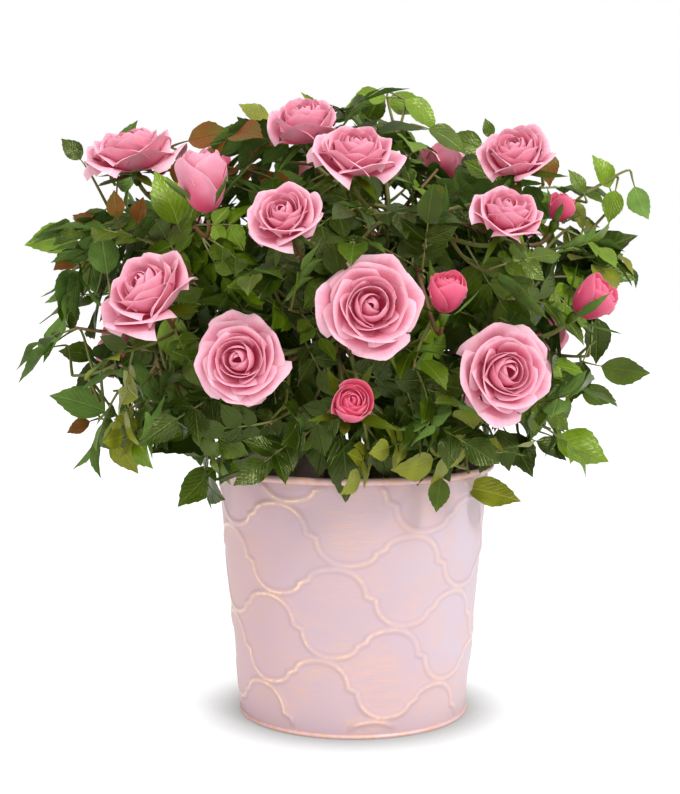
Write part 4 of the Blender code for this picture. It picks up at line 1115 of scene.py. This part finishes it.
def makeSoil():
    # height is a low mound plus three sizes of ripple in a fixed seed; the edge turns down to a flat underside
    finish = Finish("compost", Base_Color=rgb(50, 36, 26), Roughness=0.95)
    crumbs = finish.noise(finish.place(), 420.0, 5.0, 0.65)
    finish.feed("Base Color", finish.mix(crumbs.ramp(0.35, 0.7), rgb(30, 22, 16), rgb(84, 62, 44)))
    finish.bump(crumbs, 0.9, 0.0015)
    draw = np.random.default_rng(soilBuild["seed"])
    radii = np.linspace(soilBuild["hole"], soilBuild["radius"], soilBuild["rings"])[:, None]
    angle = ringAngles(soilBuild["sides"])
    x, y, inset = radii * np.sin(angle), -radii * np.cos(angle), soilBuild["radius"] - radii
    z = potSize["soilTop"] + soilBuild["mound"] * np.clip(inset / 0.05, 0, 1) + 0 * angle
    for size, lift in soilBuild["ripples"]:
        for _ in range(5):
            alongX, alongY, phase = draw.normal(0, size), draw.normal(0, size), draw.uniform(0, 6.28)
            z = z + lift * 0.45 * np.sin(alongX * x + alongY * y + phase) * np.clip(inset / 0.004, 0, 1)
    top = np.stack([x, y, z], -1)
    under = top[::-15].copy()
    under[..., 2] = potSize["soilTop"] - soilBuild["depth"]
    rings = np.concatenate([top, under])
    quads = np.roll(ringQuads(*rings.shape[:2]), -1, axis=1)
    soil = addPiece("soilTop", rings, quads, [finish.material], "soil")
    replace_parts(soil, "soil")


stockBuild = dict(neck=0.0160, flare=0.0055, hole=0.0003, sides=64)


def makeWood():
    # canes taper from foot to tip with a bell of thickness at each node; the stock flares to its flat foot, and two waves
    # of height and turn cut grooves in its side
    paths = np.array([site["cane"] for site in sites])
    t = np.linspace(0, 1, paths.shape[1])
    radii = canes["foot"] + (canes["tip"] - canes["foot"]) * t + 0.00025 * np.exp(-((t * 6 % 1) - 0.5) ** 2 / 0.006)
    piece = addPiece("caneWood", *tubes(paths, radii, 10), [oldStem], "cane")
    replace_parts(piece, *["cane_" + site["name"] for site in sites])
    low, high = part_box("stem")
    steps = np.linspace(0, 1, 14)
    flare = stockBuild["neck"] + stockBuild["flare"] * (1 - steps) ** 2.2
    side = np.stack([flare, low.z + steps * (high.z - low.z)], -1)
    middle = stockBuild["hole"]
    points, quads = turnedMesh(np.vstack([[(middle, low.z)], side, [(middle, high.z)]]), stockBuild["sides"])
    height, turn = points[..., 2], np.arctan2(points[..., 0], -points[..., 1])
    ripple = 0.0009 * np.sin(7 * turn + 40 * height) + 0.0005 * np.sin(17 * turn - 90 * height)
    inward = spokesFront(turn) * (np.abs(ripple) * 0.9)[..., None]
    atSide = (np.hypot(points[..., 0], points[..., 1]) > 0.002)[..., None]
    points = points - np.where(atSide, inward, 0)
    stock = addPiece("stockWood", points, quads, [oldStem], "old_wood", sharp=50)
    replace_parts(stock, "stem")


makeSoil()
makeWood()
print("soil and wood made")

# studio

bpy.context.scene.view_settings.view_transform = "Standard"
studio = dict(world=0.40, floorGlow=0.98, floorHalf=8, contact=0.045, cove=12, coveRows=12, coveSides=48)
view = dict(focal=1515, frame=794, sensor=36, tilt=4.7)  # focal length and frame in picture units
suns = [  # name, where it stands, power, its breadth in degrees
    ("softLight", (0.20, -0.46, 0.86), 2.3, 110), ("crispLight", (0.55, -0.64, 0.64), 1.6, 12),
    ("leftLight", (-0.80, -0.55, 0.30), 0.45, 16)]

world = bpy.data.worlds.new("studio")
world.use_nodes = True
world.node_tree.nodes["Background"].inputs["Color"].default_value = (1, 1, 1, 1)
world.node_tree.nodes["Background"].inputs["Strength"].default_value = studio["world"]
bpy.context.scene.world = world
for name, source, power, breadth in suns:
    light = bpy.data.lights.new(name, "SUN")
    light.energy, light.angle = power, math.radians(breadth)
    addObject(name, light).rotation_euler = Vector(source).to_track_quat("Z", "Y").to_euler()

# the ground glows evenly, with a painted contact shadow, a darker glow, wherever something stands close to it
ground = Finish("paleGround", Base_Color=(0.18, 0.18, 0.18, 1), Roughness=0.9, Specular_IOR_Level=0.0,
                Emission_Strength=studio["floorGlow"])
paintedContactShade = ground.node("ShaderNodeAmbientOcclusion", {"samples": 16}, {"Distance": studio["contact"]}, output="AO")
ground.feed("Emission Color", ground.mix(paintedContactShade.ramp(0.42, 1.0), rgb(150, 148, 148), rgb(255, 255, 255)))
floorMesh = bpy.data.meshes.new("floor")
floorCorners = [(x * studio["floorHalf"], y * studio["floorHalf"], 0) for x, y in ((-1, -1), (1, -1), (1, 1), (-1, 1))]
floorMesh.from_pydata(floorCorners, [], [(0, 1, 2, 3)])
floorMesh.materials.append(ground.material)
addObject("floor", floorMesh)

# a white cove round everything, seen by the eye only, so that it adds no light
cove = Finish("whiteCove", Base_Color=(0, 0, 0, 1), Emission_Color=(1, 1, 1, 1), Emission_Strength=1.0,
              Specular_IOR_Level=0.0)
lift, turn = np.meshgrid(np.linspace(-0.2, math.pi / 2, studio["coveRows"]), ringAngles(studio["coveSides"]), indexing="ij")
covePoints = studio["cove"] * np.stack([np.cos(lift) * np.sin(turn), np.cos(lift) * np.cos(turn), np.sin(lift)], -1)
coveQuads = ringQuads(*lift.shape, closed=False)
backdrop = addPiece("cove", covePoints, coveQuads, [cove.material])
for sight in ("diffuse", "glossy", "transmission", "volume_scatter", "shadow"):
    setattr(backdrop, "visible_" + sight, False)

camera = bpy.data.cameras.new("camera")
camera.lens, camera.sensor_width, camera.sensor_fit = view["focal"] / view["frame"] * view["sensor"], view["sensor"], "AUTO"
eye = addObject("camera", camera)
eye.location, eye.rotation_euler = eyePoint, (math.radians(90 - view["tilt"]), 0, 0)
bpy.context.scene.camera = eye

bpy.context.view_layer.update()
